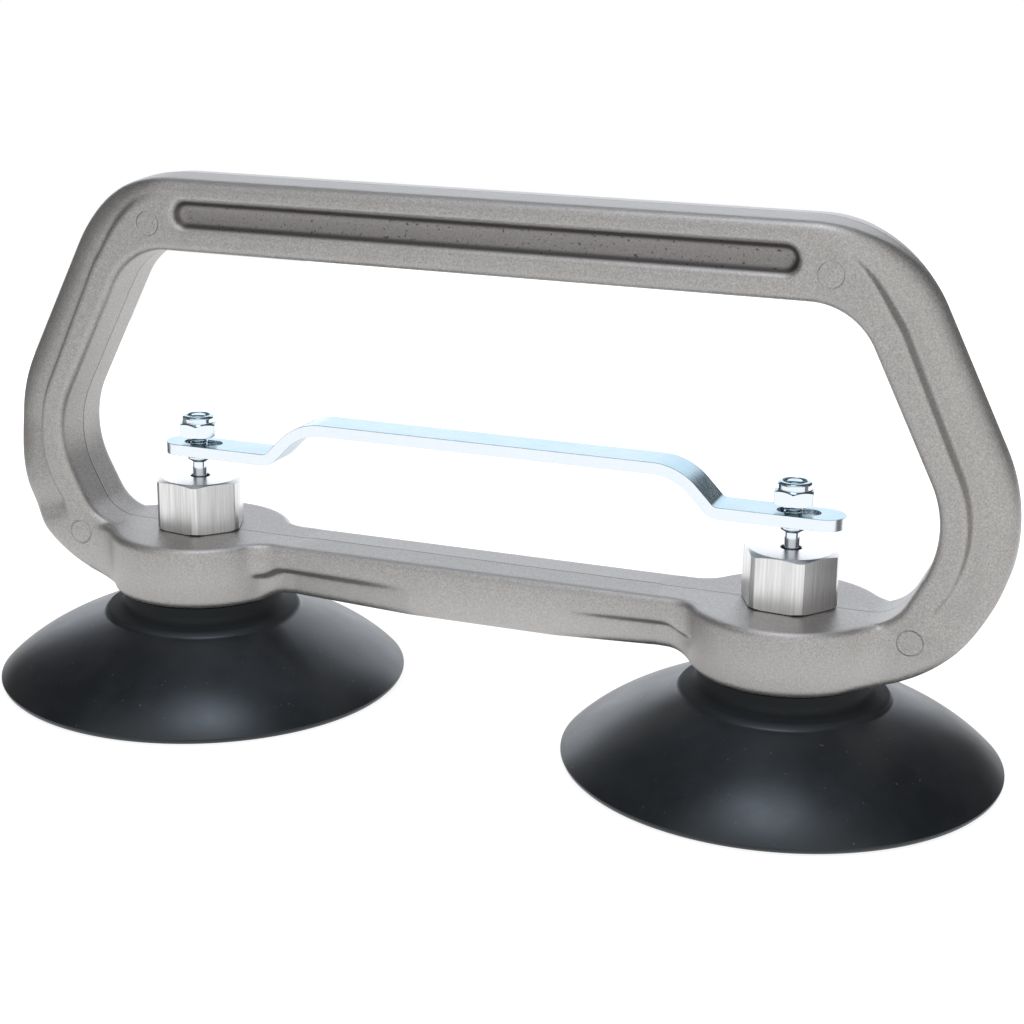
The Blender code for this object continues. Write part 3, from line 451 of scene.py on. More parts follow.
def boss(name, x):
    """A boss through its rings, closed above and below by strips from its front to its back."""
    side = 1 if x > 0 else -1
    rows = []
    for ring in boss_rings():
        ring = [(x + side * a, b, z) for a, b, z in ring]
        rows.append(ring + [(a, -b, z) for a, b, z in reversed(ring)])
    mesh = grid_mesh(name, rows, close_rows=False)
    work = bmesh.new()
    work.from_mesh(mesh)
    work.verts.ensure_lookup_table()
    width = len(rows[0])
    for start in (0, (len(rows) - 1) * width):
        for k in range(width // 2 - 1):
            work.faces.new([work.verts[start + i] for i in (k, k + 1, width - k - 2, width - k - 1)])
    bmesh.ops.recalc_face_normals(work, faces=work.faces)
    work.to_mesh(mesh)
    work.free()
    return new_object(name, mesh)


def groove(sign):
    rows = []
    for depth, growth in GROOVE_SHAPE:
        outline = stadium((0, GRIP_MIDDLE), GROOVE_HALF_LENGTH + growth, GROOVE_HALF_HEIGHT + growth, 12)
        rows.append([(a, sign * (HALF_DEPTH - depth), b) for a, b in outline])
    return new_object("groove", grid_mesh("groove", rows, close_rows=False, caps=True))


def make_handle():
    """The casting: loop and bosses joined, then remeshed and smoothed so that every crease is a fillet."""
    upper = [section_ring(*station) for station in upper_stations()]
    lower = [section_ring(*station) for station in bar_stations()]
    mirrored = [[(-x, y, z) for x, y, z in ring] for ring in reversed(upper[1:])]
    handle = new_object("loop", grid_mesh("loop", upper + lower + mirrored))
    bosses = [boss(side + "_boss", x) for side, x in SIDES.items()]
    cutters = []
    for side, x in SIDES.items():
        circle = [(x + a, b) for a, b in arc((0, 0), BOSS_BORE, 0, 354, 59)]
        cutters.append(prism(side + "_bore", circle, 0.02, 0.06))
    cutters += [groove(sign) for sign in (-1, 1)]
    for tool in bosses:
        boolean(handle, tool, "UNION")
    for tool in cutters:
        boolean(handle, tool, "DIFFERENCE")
    handle = baked(handle, "joined")
    for tool in bosses + cutters:
        bpy.data.objects.remove(tool)
    remesh = handle.modifiers.new("cast", "REMESH")
    remesh.mode = "VOXEL"
    remesh.voxel_size = 0.00045
    remesh.use_smooth_shade = True
    soft = handle.modifiers.new("soft", "SMOOTH")
    soft.factor = 0.5
    soft.iterations = 10
    fewer = handle.modifiers.new("fewer", "DECIMATE")
    fewer.ratio = 0.35
    return baked(handle, "handle_casting", 180)


# Rubber cups
AIR_HOLE_RADIUS = 0.0040
POCKET_RADIUS = 0.0213
POCKET_FLOOR = 0.0203
POCKET_ROOF = 0.0256


def cup_profile():
    """Outer side of the bell from the top down, then the hollow, the air hole and the insert's pocket.

    The pocket is deep enough for the insert when the cup is pressed flat.
    """
    outer = bezier((0.0320, 0.0210), (0.05398, 0.01262), (0.0644, 0.0017), 40)
    inner = bezier((0.0618, 0.0008), (0.04509, 0.01482), (0.0197, 0.0190), 30)
    return [
        (0.0100, CUP_HEIGHT),
        (0.0248, CUP_HEIGHT),
        (CUP_NECK_RADIUS, CUP_HEIGHT - 0.0004),
        (CUP_NECK_RADIUS, 0.0262),
        *bezier((CUP_NECK_RADIUS, 0.0256), (0.0254, 0.0240), (0.0272, 0.0235), 8),
        (0.0285, 0.0231),
        *bezier((0.0292, 0.0229), (0.0300, 0.0228), (0.0305, 0.0222), 5),
        *bezier((0.0309, 0.0217), (0.0313, 0.0212), (0.0320, 0.0210), 5)[:-1],
        *outer,
        (0.06442, 0.0013),
        (0.0641, 0.0006),
        (0.0635, 0.0),
        (0.0624, 0.0),
        *inner,
        (AIR_HOLE_RADIUS + 0.0002, 0.0195),
        (AIR_HOLE_RADIUS, 0.0197),
        (AIR_HOLE_RADIUS, POCKET_FLOOR),
        (POCKET_RADIUS, POCKET_FLOOR),
        (POCKET_RADIUS, POCKET_ROOF),
        (0.0100, POCKET_ROOF),
    ]


# Hexagonal valve bodies
HEX_ACROSS_FLATS = 0.0254
HEX_FACE_RADIUS = 0.0120
HEX_BASE_RADIUS = 0.0134
HEX_TURNS = {"left": radians(21), "right": radians(24.5)}
SHANK_LENGTH = 0.0180
SHANK_RADIUS = 0.00765
SHANK_CHAMFER = 0.0006
CHAMBER_RADIUS = 0.0054
VENT_RADIUS = 0.0030

# Lock nuts
NUT_ACROSS_FLATS = 0.0111
NUT_HEX_HEIGHT = 0.0044
NUT_COLLAR_RADIUS = 0.0050
NUT_COLLAR_ROUNDING = 0.0009
NUT_FILLET = 0.0003
NUT_LIP_RADIUS = 0.0035
NUT_LIP_THICKNESS = 0.0005
NUT_BORE = 0.00305
NUT_RING_RADIUS = 0.0043
NUT_RING_BOTTOM = NUT_TOP - 0.0026
NUT_TURNS = {"left": radians(19), "right": radians(9)}

# Valve stems
TENON_BOTTOM = 0.0322
TENON_RADIUS = 0.00155
ROD_RADIUS = 0.00218
COLLAR_RADIUS = 0.0038
COLLAR_LENGTH = 0.0013
THREAD_RADIUS = 0.00275
THREAD_DEPTH = 0.00042
THREAD_PITCH = 0.0009
THREAD_TOP = NUT_TOP - 0.0004

# Valve springs
SPRING_RADIUS = 0.0042
WIRE_RADIUS = 0.0004
SPRING_TURNS = 8

# Release bar
BAR_WIDTH = 0.0127
BAR_HALF_LENGTH = 0.10825
BAR_OFFSET = 0.0016
BAR_END_OFFSET = 0.0006
BAR_BEND_OFFSET = 0.0007
BAR_RISE = 0.0112
BAR_BEND_HALF = 0.0651
BAR_BEND_ANGLE = radians(46)
BAR_UPPER_BEND = 0.0170
BAR_LOWER_BEND = 0.0046
SLOT_LENGTH = 0.0127
SLOT_WIDTH = 0.0061


def turned_from_hexagon(name, x, profile, steps, across_flats, turn, bevels, smooth_angle):
    """A turned piece that keeps the flats of the hexagon bar that it is turned from."""
    blank = revolve(name + "_blank", profile, x, steps)
    heights = [z for _, z in profile]
    outline = hexagon(x, across_flats, turn)
    body = prism(name + "_bar", outline, min(heights) - 0.01, max(heights) + 0.01)
    for width, segments, angle in bevels:
        bevel(body, width, segments, angle)
    boolean(body, blank, "INTERSECT")
    body = baked(body, name, smooth_angle)
    bpy.data.objects.remove(blank)
    return weighted(body)


def make_hex(name, x, turn):
    """A hexagonal valve body, with a soft chamfer on top and its hollow shank below."""
    corner = HEX_ACROSS_FLATS / sqrt(3) + 0.0004
    shank_end = HEX_BASE - SHANK_LENGTH
    profile = [
        (VENT_RADIUS, HEX_TOP - 0.0002),
        (VENT_RADIUS + 0.0002, HEX_TOP),
        (HEX_FACE_RADIUS, HEX_TOP),
        *arc((HEX_FACE_RADIUS, HEX_TOP - 0.0004), 0.0004, 80, 70, 3),
        (corner, HEX_TOP - 0.0010),
        (corner, HEX_BASE + 0.0007),
        (HEX_BASE_RADIUS, HEX_BASE),
        (SHANK_RADIUS + 0.00025, HEX_BASE),
        (SHANK_RADIUS, HEX_BASE - 0.0002),
        (SHANK_RADIUS, shank_end + SHANK_CHAMFER),
        (SHANK_RADIUS - SHANK_CHAMFER, shank_end),
        (CHAMBER_RADIUS, shank_end),
        (CHAMBER_RADIUS, CHAMBER_ROOF),
        (VENT_RADIUS, CHAMBER_ROOF),
    ]
    bevels = ((0.0011, 1, 40), (0.0002, 2, 20))
    return turned_from_hexagon(name, x, profile, 120, HEX_ACROSS_FLATS, turn, bevels, 25)


def make_nut(name, x, turn):
    """A lock nut: hexagon with rounded chamfer arcs, a collar on top and its rolled lip."""
    corner = NUT_ACROSS_FLATS / sqrt(3) + 0.0002
    shoulder = NUT_BOTTOM + NUT_HEX_HEIGHT
    fillet_centre = (NUT_COLLAR_RADIUS + NUT_FILLET, shoulder + NUT_FILLET)
    rounding_centre = (NUT_COLLAR_RADIUS - NUT_COLLAR_ROUNDING, NUT_TOP - NUT_COLLAR_ROUNDING)
    profile = [
        (NUT_LIP_RADIUS, NUT_TOP - 0.0001),
        (NUT_LIP_RADIUS + 0.0001, NUT_TOP),
        (rounding_centre[0], NUT_TOP),
        *arc(rounding_centre, NUT_COLLAR_ROUNDING, 80, 0, 6),
        (NUT_COLLAR_RADIUS, fillet_centre[1]),
        *arc(fillet_centre, NUT_FILLET, 180, 260, 3),
        (corner, shoulder - 0.0007),
        (corner, NUT_BOTTOM + 0.0006),
        (0.0054, NUT_BOTTOM),
        (0.0034, NUT_BOTTOM),
        (NUT_BORE, NUT_BOTTOM + 0.0004),
        (NUT_BORE, NUT_RING_BOTTOM),
        (NUT_RING_RADIUS, NUT_RING_BOTTOM),
        (NUT_RING_RADIUS, NUT_TOP - NUT_LIP_THICKNESS),
        (NUT_LIP_RADIUS, NUT_TOP - NUT_LIP_THICKNESS),
    ]
    return turned_from_hexagon(name, x, profile, 96, NUT_ACROSS_FLATS, turn, ((0.0002, 3, 40),), 28)


def make_stem(name, x):
    """The stem with its cone, collar and a cut thread above the collar."""
    cone_top = COLLAR_TOP - COLLAR_LENGTH
    profile = [
        (0.0, TENON_BOTTOM),
        (TENON_RADIUS - 0.0002, TENON_BOTTOM),
        (TENON_RADIUS, TENON_BOTTOM + 0.0002),
        (TENON_RADIUS, ROD_BOTTOM),
        (ROD_RADIUS, ROD_BOTTOM),
        (ROD_RADIUS, cone_top - 0.0010),
        (0.0025, cone_top - 0.0008),
        (COLLAR_RADIUS - 0.0002, cone_top - 0.0001),
        (COLLAR_RADIUS, cone_top + 0.0002),
        (COLLAR_RADIUS, COLLAR_TOP - 0.0002),
        (COLLAR_RADIUS - 0.0002, COLLAR_TOP),
        (0.0024, COLLAR_TOP),
    ]
    steps = 48
    heights = np.arange(COLLAR_TOP, THREAD_TOP, THREAD_PITCH / 8)
    rows = []
    for i in range(steps):
        a = 2 * pi * i / steps
        row = list(profile)
        for z in heights:
            phase = ((z - COLLAR_TOP) / THREAD_PITCH - i / steps) % 1.0
            ridge = clamp(1.5 - 3.2 * abs(phase - 0.5))
            fade = min(1.0, (THREAD_TOP - z) / 0.0006)
            row.append((THREAD_RADIUS - THREAD_DEPTH * (1 - ridge * fade), z))
        row += [(0.0022, NUT_TOP - 0.0001), (0.0021, NUT_TOP), (0.0, NUT_TOP)]
        rows.append([(x + r * cos(a), r * sin(a), z) for r, z in row])
    return new_object(name, grid_mesh(name, rows, close_columns=False), 50)


def make_spring(name, x):
    """A compression spring with a closed coil at each end."""
    steps = 36
    sides = 12
    low = POPPET_SHELF + GAP + WIRE_RADIUS
    high = CHAMBER_ROOF - GAP - WIRE_RADIUS
    closed = 1.12 * 2 * WIRE_RADIUS
    up = Vector((0, 0, 1))
    rows = []
    for i in range(SPRING_TURNS * steps + 1):
        turn = i / steps
        rise = closed * (clamp(turn) + clamp(turn - SPRING_TURNS + 1))
        rise += (high - low - 2 * closed) * clamp((turn - 1) / (SPRING_TURNS - 2))
        a = 2 * pi * turn
        centre = Vector((x + SPRING_RADIUS * cos(a), SPRING_RADIUS * sin(a), low + rise))
        out = Vector((cos(a), sin(a), 0))
        ring = []
        for k in range(sides):
            b = 2 * pi * k / sides
            ring.append(tuple(centre + out * (WIRE_RADIUS * cos(b)) + up * (WIRE_RADIUS * sin(b))))
        rows.append(ring)
    return new_object(name, grid_mesh(name, rows, close_rows=False, caps=True), 60)


def offset_line(points, distance):
    """The line moved to its left by a distance."""
    points = [Vector(point) for point in points]
    moved = []
    for i, point in enumerate(points):
        before = points[max(i - 1, 0)]
        after = points[min(i + 1, len(points) - 1)]
        along = ((point - before).normalized() + (after - point).normalized()).normalized()
        moved.append(point + Vector((-along.y, along.x)) * distance)
    return [tuple(point) for point in moved]


def make_bar(name):
    """The strap: bent side view, full round ends, a slot at each end and lightly rolled edges."""
    low = BAR_UNDERSIDE + BAR_THICKNESS / 2
    high = low + BAR_RISE
    lean = BAR_RISE / 2 / tan(BAR_BEND_ANGLE)
    end = BAR_HALF_LENGTH + 0.01
    foot, knee = BAR_BEND_HALF + lean, BAR_BEND_HALF - lean
    half = [(0.0, high)]
    half += [tuple(p) for p in corner_arc((0, high), (knee, high), (foot, low), BAR_UPPER_BEND, 24)]
    half += [tuple(p) for p in corner_arc((knee, high), (foot, low), (end, low), BAR_LOWER_BEND, 14)]
    half.append((end, low))
    centre = [(-a, b) for a, b in reversed(half[1:])] + half
    centre = [(BAR_OFFSET + BAR_BEND_OFFSET + a, b) for a, b in centre]
    side_view = offset_line(centre, BAR_THICKNESS / 2) + offset_line(centre, -BAR_THICKNESS / 2)[::-1]
    bar = prism("bar_side", side_view, -BAR_WIDTH, BAR_WIDTH, "Y")
    plan = stadium((BAR_OFFSET + BAR_END_OFFSET, 0), BAR_HALF_LENGTH, BAR_WIDTH / 2, 28)
    tools = [prism("bar_plan", plan, 0.06, 0.10)]
    boolean(bar, tools[0], "INTERSECT")
    for x in SIDES.values():
        slot = stadium((x + BAR_OFFSET, 0), SLOT_LENGTH / 2, SLOT_WIDTH / 2, 20)
        tools.append(prism("slot", slot, 0.06, 0.10))
        boolean(bar, tools[-1], "DIFFERENCE")
    bevel(bar, 0.00022, 2, 50)
    bar = baked(bar, name, 30)
    for tool in tools:
        bpy.data.objects.remove(tool)
    return weighted(bar)


# Materials

class Nodes:
    """Short helpers that add nodes to one tree."""

    def __init__(self, tree):
        self.tree = tree

    def node(self, kind, **settings):
        made = self.tree.nodes.new(kind)
        for key, value in settings.items():
            setattr(made, key, value)
        return made

    def put(self, target, value):
        """Gives a socket a number, or links an output to it."""
        if isinstance(value, (int, float)):
            target.default_value = value
        else:
            self.tree.links.new(value, target)

    def join(self, made, *values):
        """Gives a node's first inputs the numbers or outputs, and returns its first output."""
        for target, value in zip(made.inputs, values):
            self.put(target, value)
        return made.outputs[0]

    def math(self, operation, *values):
        return self.join(self.node("ShaderNodeMath", operation=operation), *values)

    def times(self, a, b):
        return self.math("MULTIPLY", a, b)

    def away(self, a, b):
        """Distance between two numbers."""
        return self.math("ABSOLUTE", self.math("SUBTRACT", a, b))

    def ramp(self, value, low, high, start=0.0, end=1.0, kind="LINEAR"):
        """From start to end as the value goes from low to high, and level outside."""
        made = self.node("ShaderNodeMapRange", interpolation_type=kind)
        return self.join(made, value, low, high, start, end)

    def fade(self, value, low, high, start=0.0, end=1.0):
        """A ramp with soft ends."""
        return self.ramp(value, low, high, start, end, "SMOOTHSTEP")

    def axis(self, name, vector):
        made = self.node("ShaderNodeSeparateXYZ")
        self.put(made.inputs[0], vector)
        return made.outputs[name]


class Shader(Nodes):
    """A material with a Principled shader, on object coordinates in metres."""

    def __init__(self, name, colour, metallic, roughness):
        self.material = bpy.data.materials.new(name)
        self.material.use_nodes = True
        super().__init__(self.material.node_tree)
        self.inputs = self.tree.nodes["Principled BSDF"].inputs
        self.inputs["Base Color"].default_value = (*colour, 1.0)
        self.inputs["Metallic"].default_value = metallic
        self.inputs["Roughness"].default_value = roughness
        self.place = self.node("ShaderNodeTexCoord").outputs["Object"]

    def normal(self):
        return self.node("ShaderNodeNewGeometry").outputs["Normal"]

    def stretch(self, scale):
        """The place multiplied by a scale along each axis."""
        made = self.node("ShaderNodeVectorMath", operation="MULTIPLY")
        self.put(made.inputs[0], self.place)
        made.inputs[1].default_value = scale
        return made.outputs[0]

    def noise(self, size, detail=2.0, place=None, roughness=0.5):
        """Noise from 0 to 1 with features of about the given size."""
        made = self.node("ShaderNodeTexNoise")
        self.put(made.inputs["Vector"], place or self.place)
        made.inputs["Scale"].default_value = 1.0 / size
        made.inputs["Detail"].default_value = detail
        made.inputs["Roughness"].default_value = roughness
        return made.outputs["Fac"]

    def three_tones(self, value, *tones):
        """Colours for the values 0, 0.5 and 1."""
        made = self.node("ShaderNodeValToRGB")
        self.put(made.inputs["Fac"], value)
        elements = made.color_ramp.elements
        elements.new(0.5)
        for element, position, colour in zip(elements, (0.0, 0.5, 1.0), tones):
            element.position = position
            element.color = (*colour, 1.0)
        return made.outputs["Color"]

    def mix(self, factor, a, b):
        made = self.node("ShaderNodeMix", data_type="RGBA")
        self.put(made.inputs["Factor"], factor)
        for target, value in ((made.inputs["A"], a), (made.inputs["B"], b)):
            if isinstance(value, tuple):
                target.default_value = (*value, 1.0)
            else:
                self.put(target, value)
        return made.outputs["Result"]

    def bump(self, height, distance, strength, normal=None):
        made = self.node("ShaderNodeBump")
        self.put(made.inputs["Height"], height)
        made.inputs["Distance"].default_value = distance
        made.inputs["Strength"].default_value = strength
        if normal is not None:
            self.put(made.inputs["Normal"], normal)
        return made.outputs["Normal"]

    def finished(self, colour, roughness, normal):
        """The material, with what varies over its surface linked."""
        self.put(self.inputs["Base Color"], colour)
        self.put(self.inputs["Roughness"], roughness)
        self.put(self.inputs["Normal"], normal)
        return self.material


def painted_light(s, base, z):
    """Painted light: lighter metal where light from above falls on up-tilted edges and the grip's top, and
    low down.
    """
    bright = (0.66, 0.645, 0.63)
    normal = s.normal()
    rise = s.axis("Z", normal)
    # Painted highlight on the edges that tilt up, kept off the band of the grooves
    lit_edges = s.times(s.fade(rise, 0.998, 0.975), s.fade(rise, 0.78, 0.90))
    lit_edges = s.times(lit_edges, s.fade(s.math("ABSOLUTE", s.axis("Y", normal)), 0.05, 0.18))
    clear = s.fade(s.away(z, GRIP_MIDDLE), 0.0060, 0.0085)
    base = s.mix(s.times(lit_edges, s.times(clear, 0.6)), base, bright)
    # Painted light on the grip's top face
    lit_top = s.times(s.fade(z, 0.1380, 0.1500), s.fade(rise, 0.70, 0.95, 0.0, 0.35))
    base = s.mix(lit_top, base, bright)
    # Painted light low down on the lower bar and the bosses
    return s.mix(s.fade(z, 0.0480, 0.0350, 0.0, 0.30), base, bright)


def groove_painted_shade(s, base, x, y, z):
    """Painted shade in the grooves of the grip, darkest on their walls and lighter on their floor, with
    small dark pits.
    """
    in_height = s.fade(s.away(z, GRIP_MIDDLE), 0.0040, 0.0052, 1.0, 0.0)
    in_length = s.fade(x, 0.0980, 0.1000, 1.0, 0.0)
    depth = s.math("ABSOLUTE", y)
    deep = s.fade(depth, HALF_DEPTH - 0.0014, HALF_DEPTH - 0.0004, 1.0, 0.0)
    in_groove = s.times(s.times(in_height, in_length), deep)
    walls = s.fade(depth, HALF_DEPTH - 0.0030, HALF_DEPTH - 0.0022, 0.5, 0.95)
    # Painted shade in the grooves, darkest on the walls
    base = s.mix(s.times(in_groove, walls), base, (0.12, 0.112, 0.108))
    pits = s.ramp(s.noise(0.0010, 1.0), 0.66, 0.70, 0.0, 0.7)
    return s.mix(s.times(pits, in_groove), base, (0.04, 0.038, 0.036))


def pin_marks(s, x, y, z):
    """Rings that the ejector pins left on the front of each leg, at its top and at its foot."""
    marks = 0.0
    for mark_x, mark_z in ((0.1042, 0.1456), (0.1323, 0.0450)):
        dx = s.math("SUBTRACT", x, mark_x)
        dz = s.math("SUBTRACT", z, mark_z)
        distance = s.math("SQRT", s.math("ADD", s.times(dx, dx), s.times(dz, dz)))
        marks = s.math("MAXIMUM", marks, s.fade(s.away(distance, 0.00365), 0.0, 0.0004, 1.0, 0.0))
    return s.times(marks, s.math("LESS_THAN", y, -0.004))


def cast_aluminium():
    """Blasted casting: warm mid grey, fine grain, painted shade in the grooves, pin marks and a thin parting
    line.
    """
    s = Shader("cast_aluminium", (0.40, 0.39, 0.38), 1.0, 0.50)
    x = s.math("ABSOLUTE", s.axis("X", s.place))
    y = s.axis("Y", s.place)
    z = s.axis("Z", s.place)
    grain = s.noise(0.0005, 3.0)
    base = s.three_tones(
        s.ramp(grain, 0.25, 0.75), (0.300, 0.289, 0.280), (0.420, 0.406, 0.394), (0.560, 0.543, 0.527)
    )
    base = s.mix(s.ramp(s.noise(0.011, 3.0), 0.3, 0.7, 0.0, 0.2), base, (0.35, 0.34, 0.33))
    # Painted light on up-tilted edges, the grip's top and low down, and painted shade in the grooves
    base = groove_painted_shade(s, painted_light(s, base, z), x, y, z)
    marks = pin_marks(s, x, y, z)
    wave = s.math("MULTIPLY_ADD", s.noise(0.020), 0.0016, -0.0008)
    parting = s.fade(s.math("ABSOLUTE", s.math("ADD", y, wave)), 0.00010, 0.00042, 1.0, 0.0)
    lines = s.math("MAXIMUM", parting, s.times(marks, 0.3))
    base = s.mix(s.times(lines, 0.7), base, (0.16, 0.15, 0.145))
    normal = s.bump(grain, 0.00006, 0.7)
    normal = s.bump(s.noise(0.004), 0.0003, 0.2, normal)
    normal = s.bump(s.math("SUBTRACT", s.times(parting, 0.4), marks), 0.0002, 0.7, normal)
    return s.finished(base, s.ramp(grain, 0.3, 0.7, 0.46, 0.54), normal)


def bright_aluminium():
    """Drawn hexagon bar: bright, with streaks along the bar on its flats and a faced top."""
    s = Shader("hexagon_aluminium", (0.76, 0.76, 0.76), 1.0, 0.28)
    fine = s.noise(0.0005, 3.0, s.stretch((1.0, 1.0, 0.025)))
    broad = s.noise(0.0022, 2.0, s.stretch((1.0, 1.0, 0.05)))
    flats = s.ramp(s.math("ABSOLUTE", s.axis("Z", s.normal())), 0.3, 0.6, 1.0, 0.0)
    streaks = s.times(s.math("ADD", s.times(fine, 0.6), s.times(broad, 0.4)), flats)
    streaks = s.math("ADD", streaks, s.times(s.math("SUBTRACT", 1.0, flats), 0.62))
    colour = s.three_tones(
        s.ramp(streaks, 0.3, 0.7), (0.60, 0.59, 0.58), (0.76, 0.755, 0.75), (0.87, 0.87, 0.87)
    )
    colour = s.mix(flats, (0.58, 0.57, 0.56), colour)
    return s.finished(colour, s.ramp(streaks, 0.3, 0.7, 0.42, 0.28), s.bump(streaks, 0.00012, 0.6))


def zinc_plate(name, burr):
    """Bright zinc: a cyan tint on the flat faces, whiter edges, a dark ragged burr along sheared edges."""
    s = Shader(name, (0.50, 0.58, 0.62), 1.0, 0.16)
    normal = s.normal()
    level = s.math("ABSOLUTE", s.axis("Z", normal))
    flat = s.mix(s.ramp(s.noise(0.006, 3.0), 0.35, 0.65), (0.24, 0.37, 0.43), (0.29, 0.39, 0.45))
    colour = s.mix(s.ramp(level, 0.25, 0.55, 1.0, 0.0), flat, (0.80, 0.86, 0.92))
    if burr:
        across = s.ramp(s.math("ABSOLUTE", s.axis("Y", normal)), 0.25, 0.45)
        edge = s.times(across, s.ramp(level, 0.2, 0.4))
        ragged = s.ramp(s.noise(0.0015, 3.0, s.stretch((0.5, 1.0, 1.0))), 0.42, 0.60, 0.1, 1.0)
        colour = s.mix(s.times(edge, ragged), colour, (0.10, 0.12, 0.14))
    polish = (0.20, 0.26) if burr else (0.09, 0.14)
    roughness = s.ramp(s.noise(0.003), 0.3, 0.7, *polish)
    return s.finished(colour, roughness, s.bump(s.noise(0.003), 0.00006, 0.4))


def black_rubber():
    """Moulded rubber: black and satin with a cool sheen, faint scuffs, a little pale dust and painted shade
    on the neck.
    """
    s = Shader("cup_rubber", (0.011, 0.0125, 0.015), 0.0, 0.34)
    s.inputs["Specular Tint"].default_value = (0.86, 0.95, 1.0, 1.0)
    scuffs = s.noise(0.012, 5.0, roughness=0.65)
    colour = s.mix(s.ramp(scuffs, 0.4, 0.75), (0.0050, 0.0062, 0.0084), (0.0110, 0.0125, 0.0155))
    dust = s.ramp(s.noise(0.0011, 0.0), 0.83, 0.86, 0.0, 0.30)
    colour = s.mix(dust, colour, (0.16, 0.16, 0.16))
    # Painted shade on the neck under the boss, which is also made rougher
    neck = s.fade(s.axis("Z", s.place), 0.0212, 0.0226)
    colour = s.mix(s.times(neck, 0.8), colour, (0.001, 0.0012, 0.0015))
    roughness = s.math("MULTIPLY_ADD", neck, 0.35, s.ramp(scuffs, 0.3, 0.7, 0.31, 0.38))
    return s.finished(colour, roughness, s.bump(s.noise(0.0008), 0.00003, 0.3))


def plain(name, colour, metallic, roughness):
    """A finish with a fine grain, for the small and hidden pieces."""
    s = Shader(name, colour, metallic, roughness)
    grain = s.noise(0.0008, 3.0)
    dark = tuple(0.8 * value for value in colour)
    varied = s.ramp(grain, 0.3, 0.7, roughness * 1.2, roughness * 0.85)
    return s.finished(s.mix(s.ramp(grain, 0.3, 0.7), dark, colour), varied, s.bump(grain, 0.00005, 0.4))


def dress(item, material):
    item.data.materials.clear()
    item.data.materials.append(material)


def fine_piece(item, node, body, material):
    dress(item, material)
    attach(item, body)
    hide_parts(node)


def make_pieces():
    casting = cast_aluminium()
    hexagon_metal = bright_aluminium()
    zinc = zinc_plate("zinc_plate", False)
    sheared_zinc = zinc_plate("sheared_zinc_plate", True)
    rubber = black_rubber()
    wire = plain("spring_steel", (0.62, 0.61, 0.60), 1.0, 0.25)
    inner_finishes = {
        "_cup_insert": plain("insert_steel", (0.55, 0.55, 0.55), 1.0, 0.35),
        "_valve_poppet": plain("poppet_brass", (0.72, 0.55, 0.28), 1.0, 0.28),
        "_valve_seal": plain("seal_rubber", (0.02, 0.02, 0.02), 0.0, 0.5),
        "_lock_nut_ring": plain("nut_ring_plastic", (0.72, 0.74, 0.72), 0.0, 0.45),
    }
    fine_piece(make_handle(), "handle", "handle", casting)
    fine_piece(make_bar("release_strap"), "release_bar", "release_bar", sheared_zinc)
    for side, x in SIDES.items():
        stem_body = side + "_stem"
        cup = revolve(side + "_cup_moulding", cup_profile(), x, 180, 30)
        fine_piece(cup, side + "_suction_cup", "cups", rubber)
        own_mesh(cup)
        hexagon_piece = make_hex(side + "_hexagon", x, HEX_TURNS[side])
        fine_piece(hexagon_piece, side + "_valve_body", "handle", hexagon_metal)
        stem = make_stem(side + "_threaded_stem", x)
        fine_piece(stem, side + "_valve_stem", stem_body, zinc)
        nut = make_nut(side + "_collar_nut", x, NUT_TURNS[side])
        fine_piece(nut, side + "_lock_nut", stem_body, zinc)
        spring = make_spring(side + "_wound_spring", x)
        fine_piece(spring, side + "_valve_spring", "handle", wire)
        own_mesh(spring)
        for node, finish in inner_finishes.items():
            dress(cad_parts[side + node], finish)


# Studio

def seen_directly(n, path):
    """1 for camera, glossy and transmission rays, and 0 for diffuse rays."""
    total = path["Is Camera Ray"]
    for kind in ("Is Glossy Ray", "Is Transmission Ray"):
        total = n.math("MAXIMUM", total, path[kind])
    return total


def make_floor():
    """A pale floor. Directly seen it glows, white behind the object, and keeps a faint contact shadow.

    It leaves out the back left, where gloss shows the dim room instead.
    """
    mesh = bpy.data.meshes.new("floor")
    outline = ((-1.0, -2.0), (0.9, -2.0), (0.9, 1.1), (-0.42, 1.1), (-0.42, 0.0), (-1.0, -0.6))
    mesh.from_pydata([(x, y, 0) for x, y in outline], [], [tuple(range(len(outline)))])
    floor = bpy.data.objects.new("floor", mesh)
    floor.location.z = -0.0002
    bpy.context.scene.collection.objects.link(floor)
    material = bpy.data.materials.new("floor")
    material.use_nodes = True
    material.cycles.emission_sampling = "NONE"
    material.node_tree.nodes.clear()
    n = Nodes(material.node_tree)
    pale = n.node("ShaderNodeBsdfDiffuse")
    pale.inputs["Color"].default_value = (0.8, 0.8, 0.8, 1)
    shade = n.node("ShaderNodeBsdfDiffuse")
    shade.inputs["Color"].default_value = (0.30, 0.30, 0.30, 1)
    glow = n.node("ShaderNodeEmission")
    behind = n.axis("Y", n.node("ShaderNodeTexCoord").outputs["Object"])
    n.put(glow.inputs["Strength"], n.ramp(behind, 0.03, 0.25, 0.84, 1.10))
    lit = n.join(n.node("ShaderNodeAddShader"), shade.outputs[0], glow.outputs[0])
    direct = seen_directly(n, n.node("ShaderNodeLightPath").outputs)
    lit = n.join(n.node("ShaderNodeMixShader"), direct, pale.outputs[0], lit)
    n.put(n.node("ShaderNodeOutputMaterial").inputs[0], lit)
    mesh.materials.append(material)


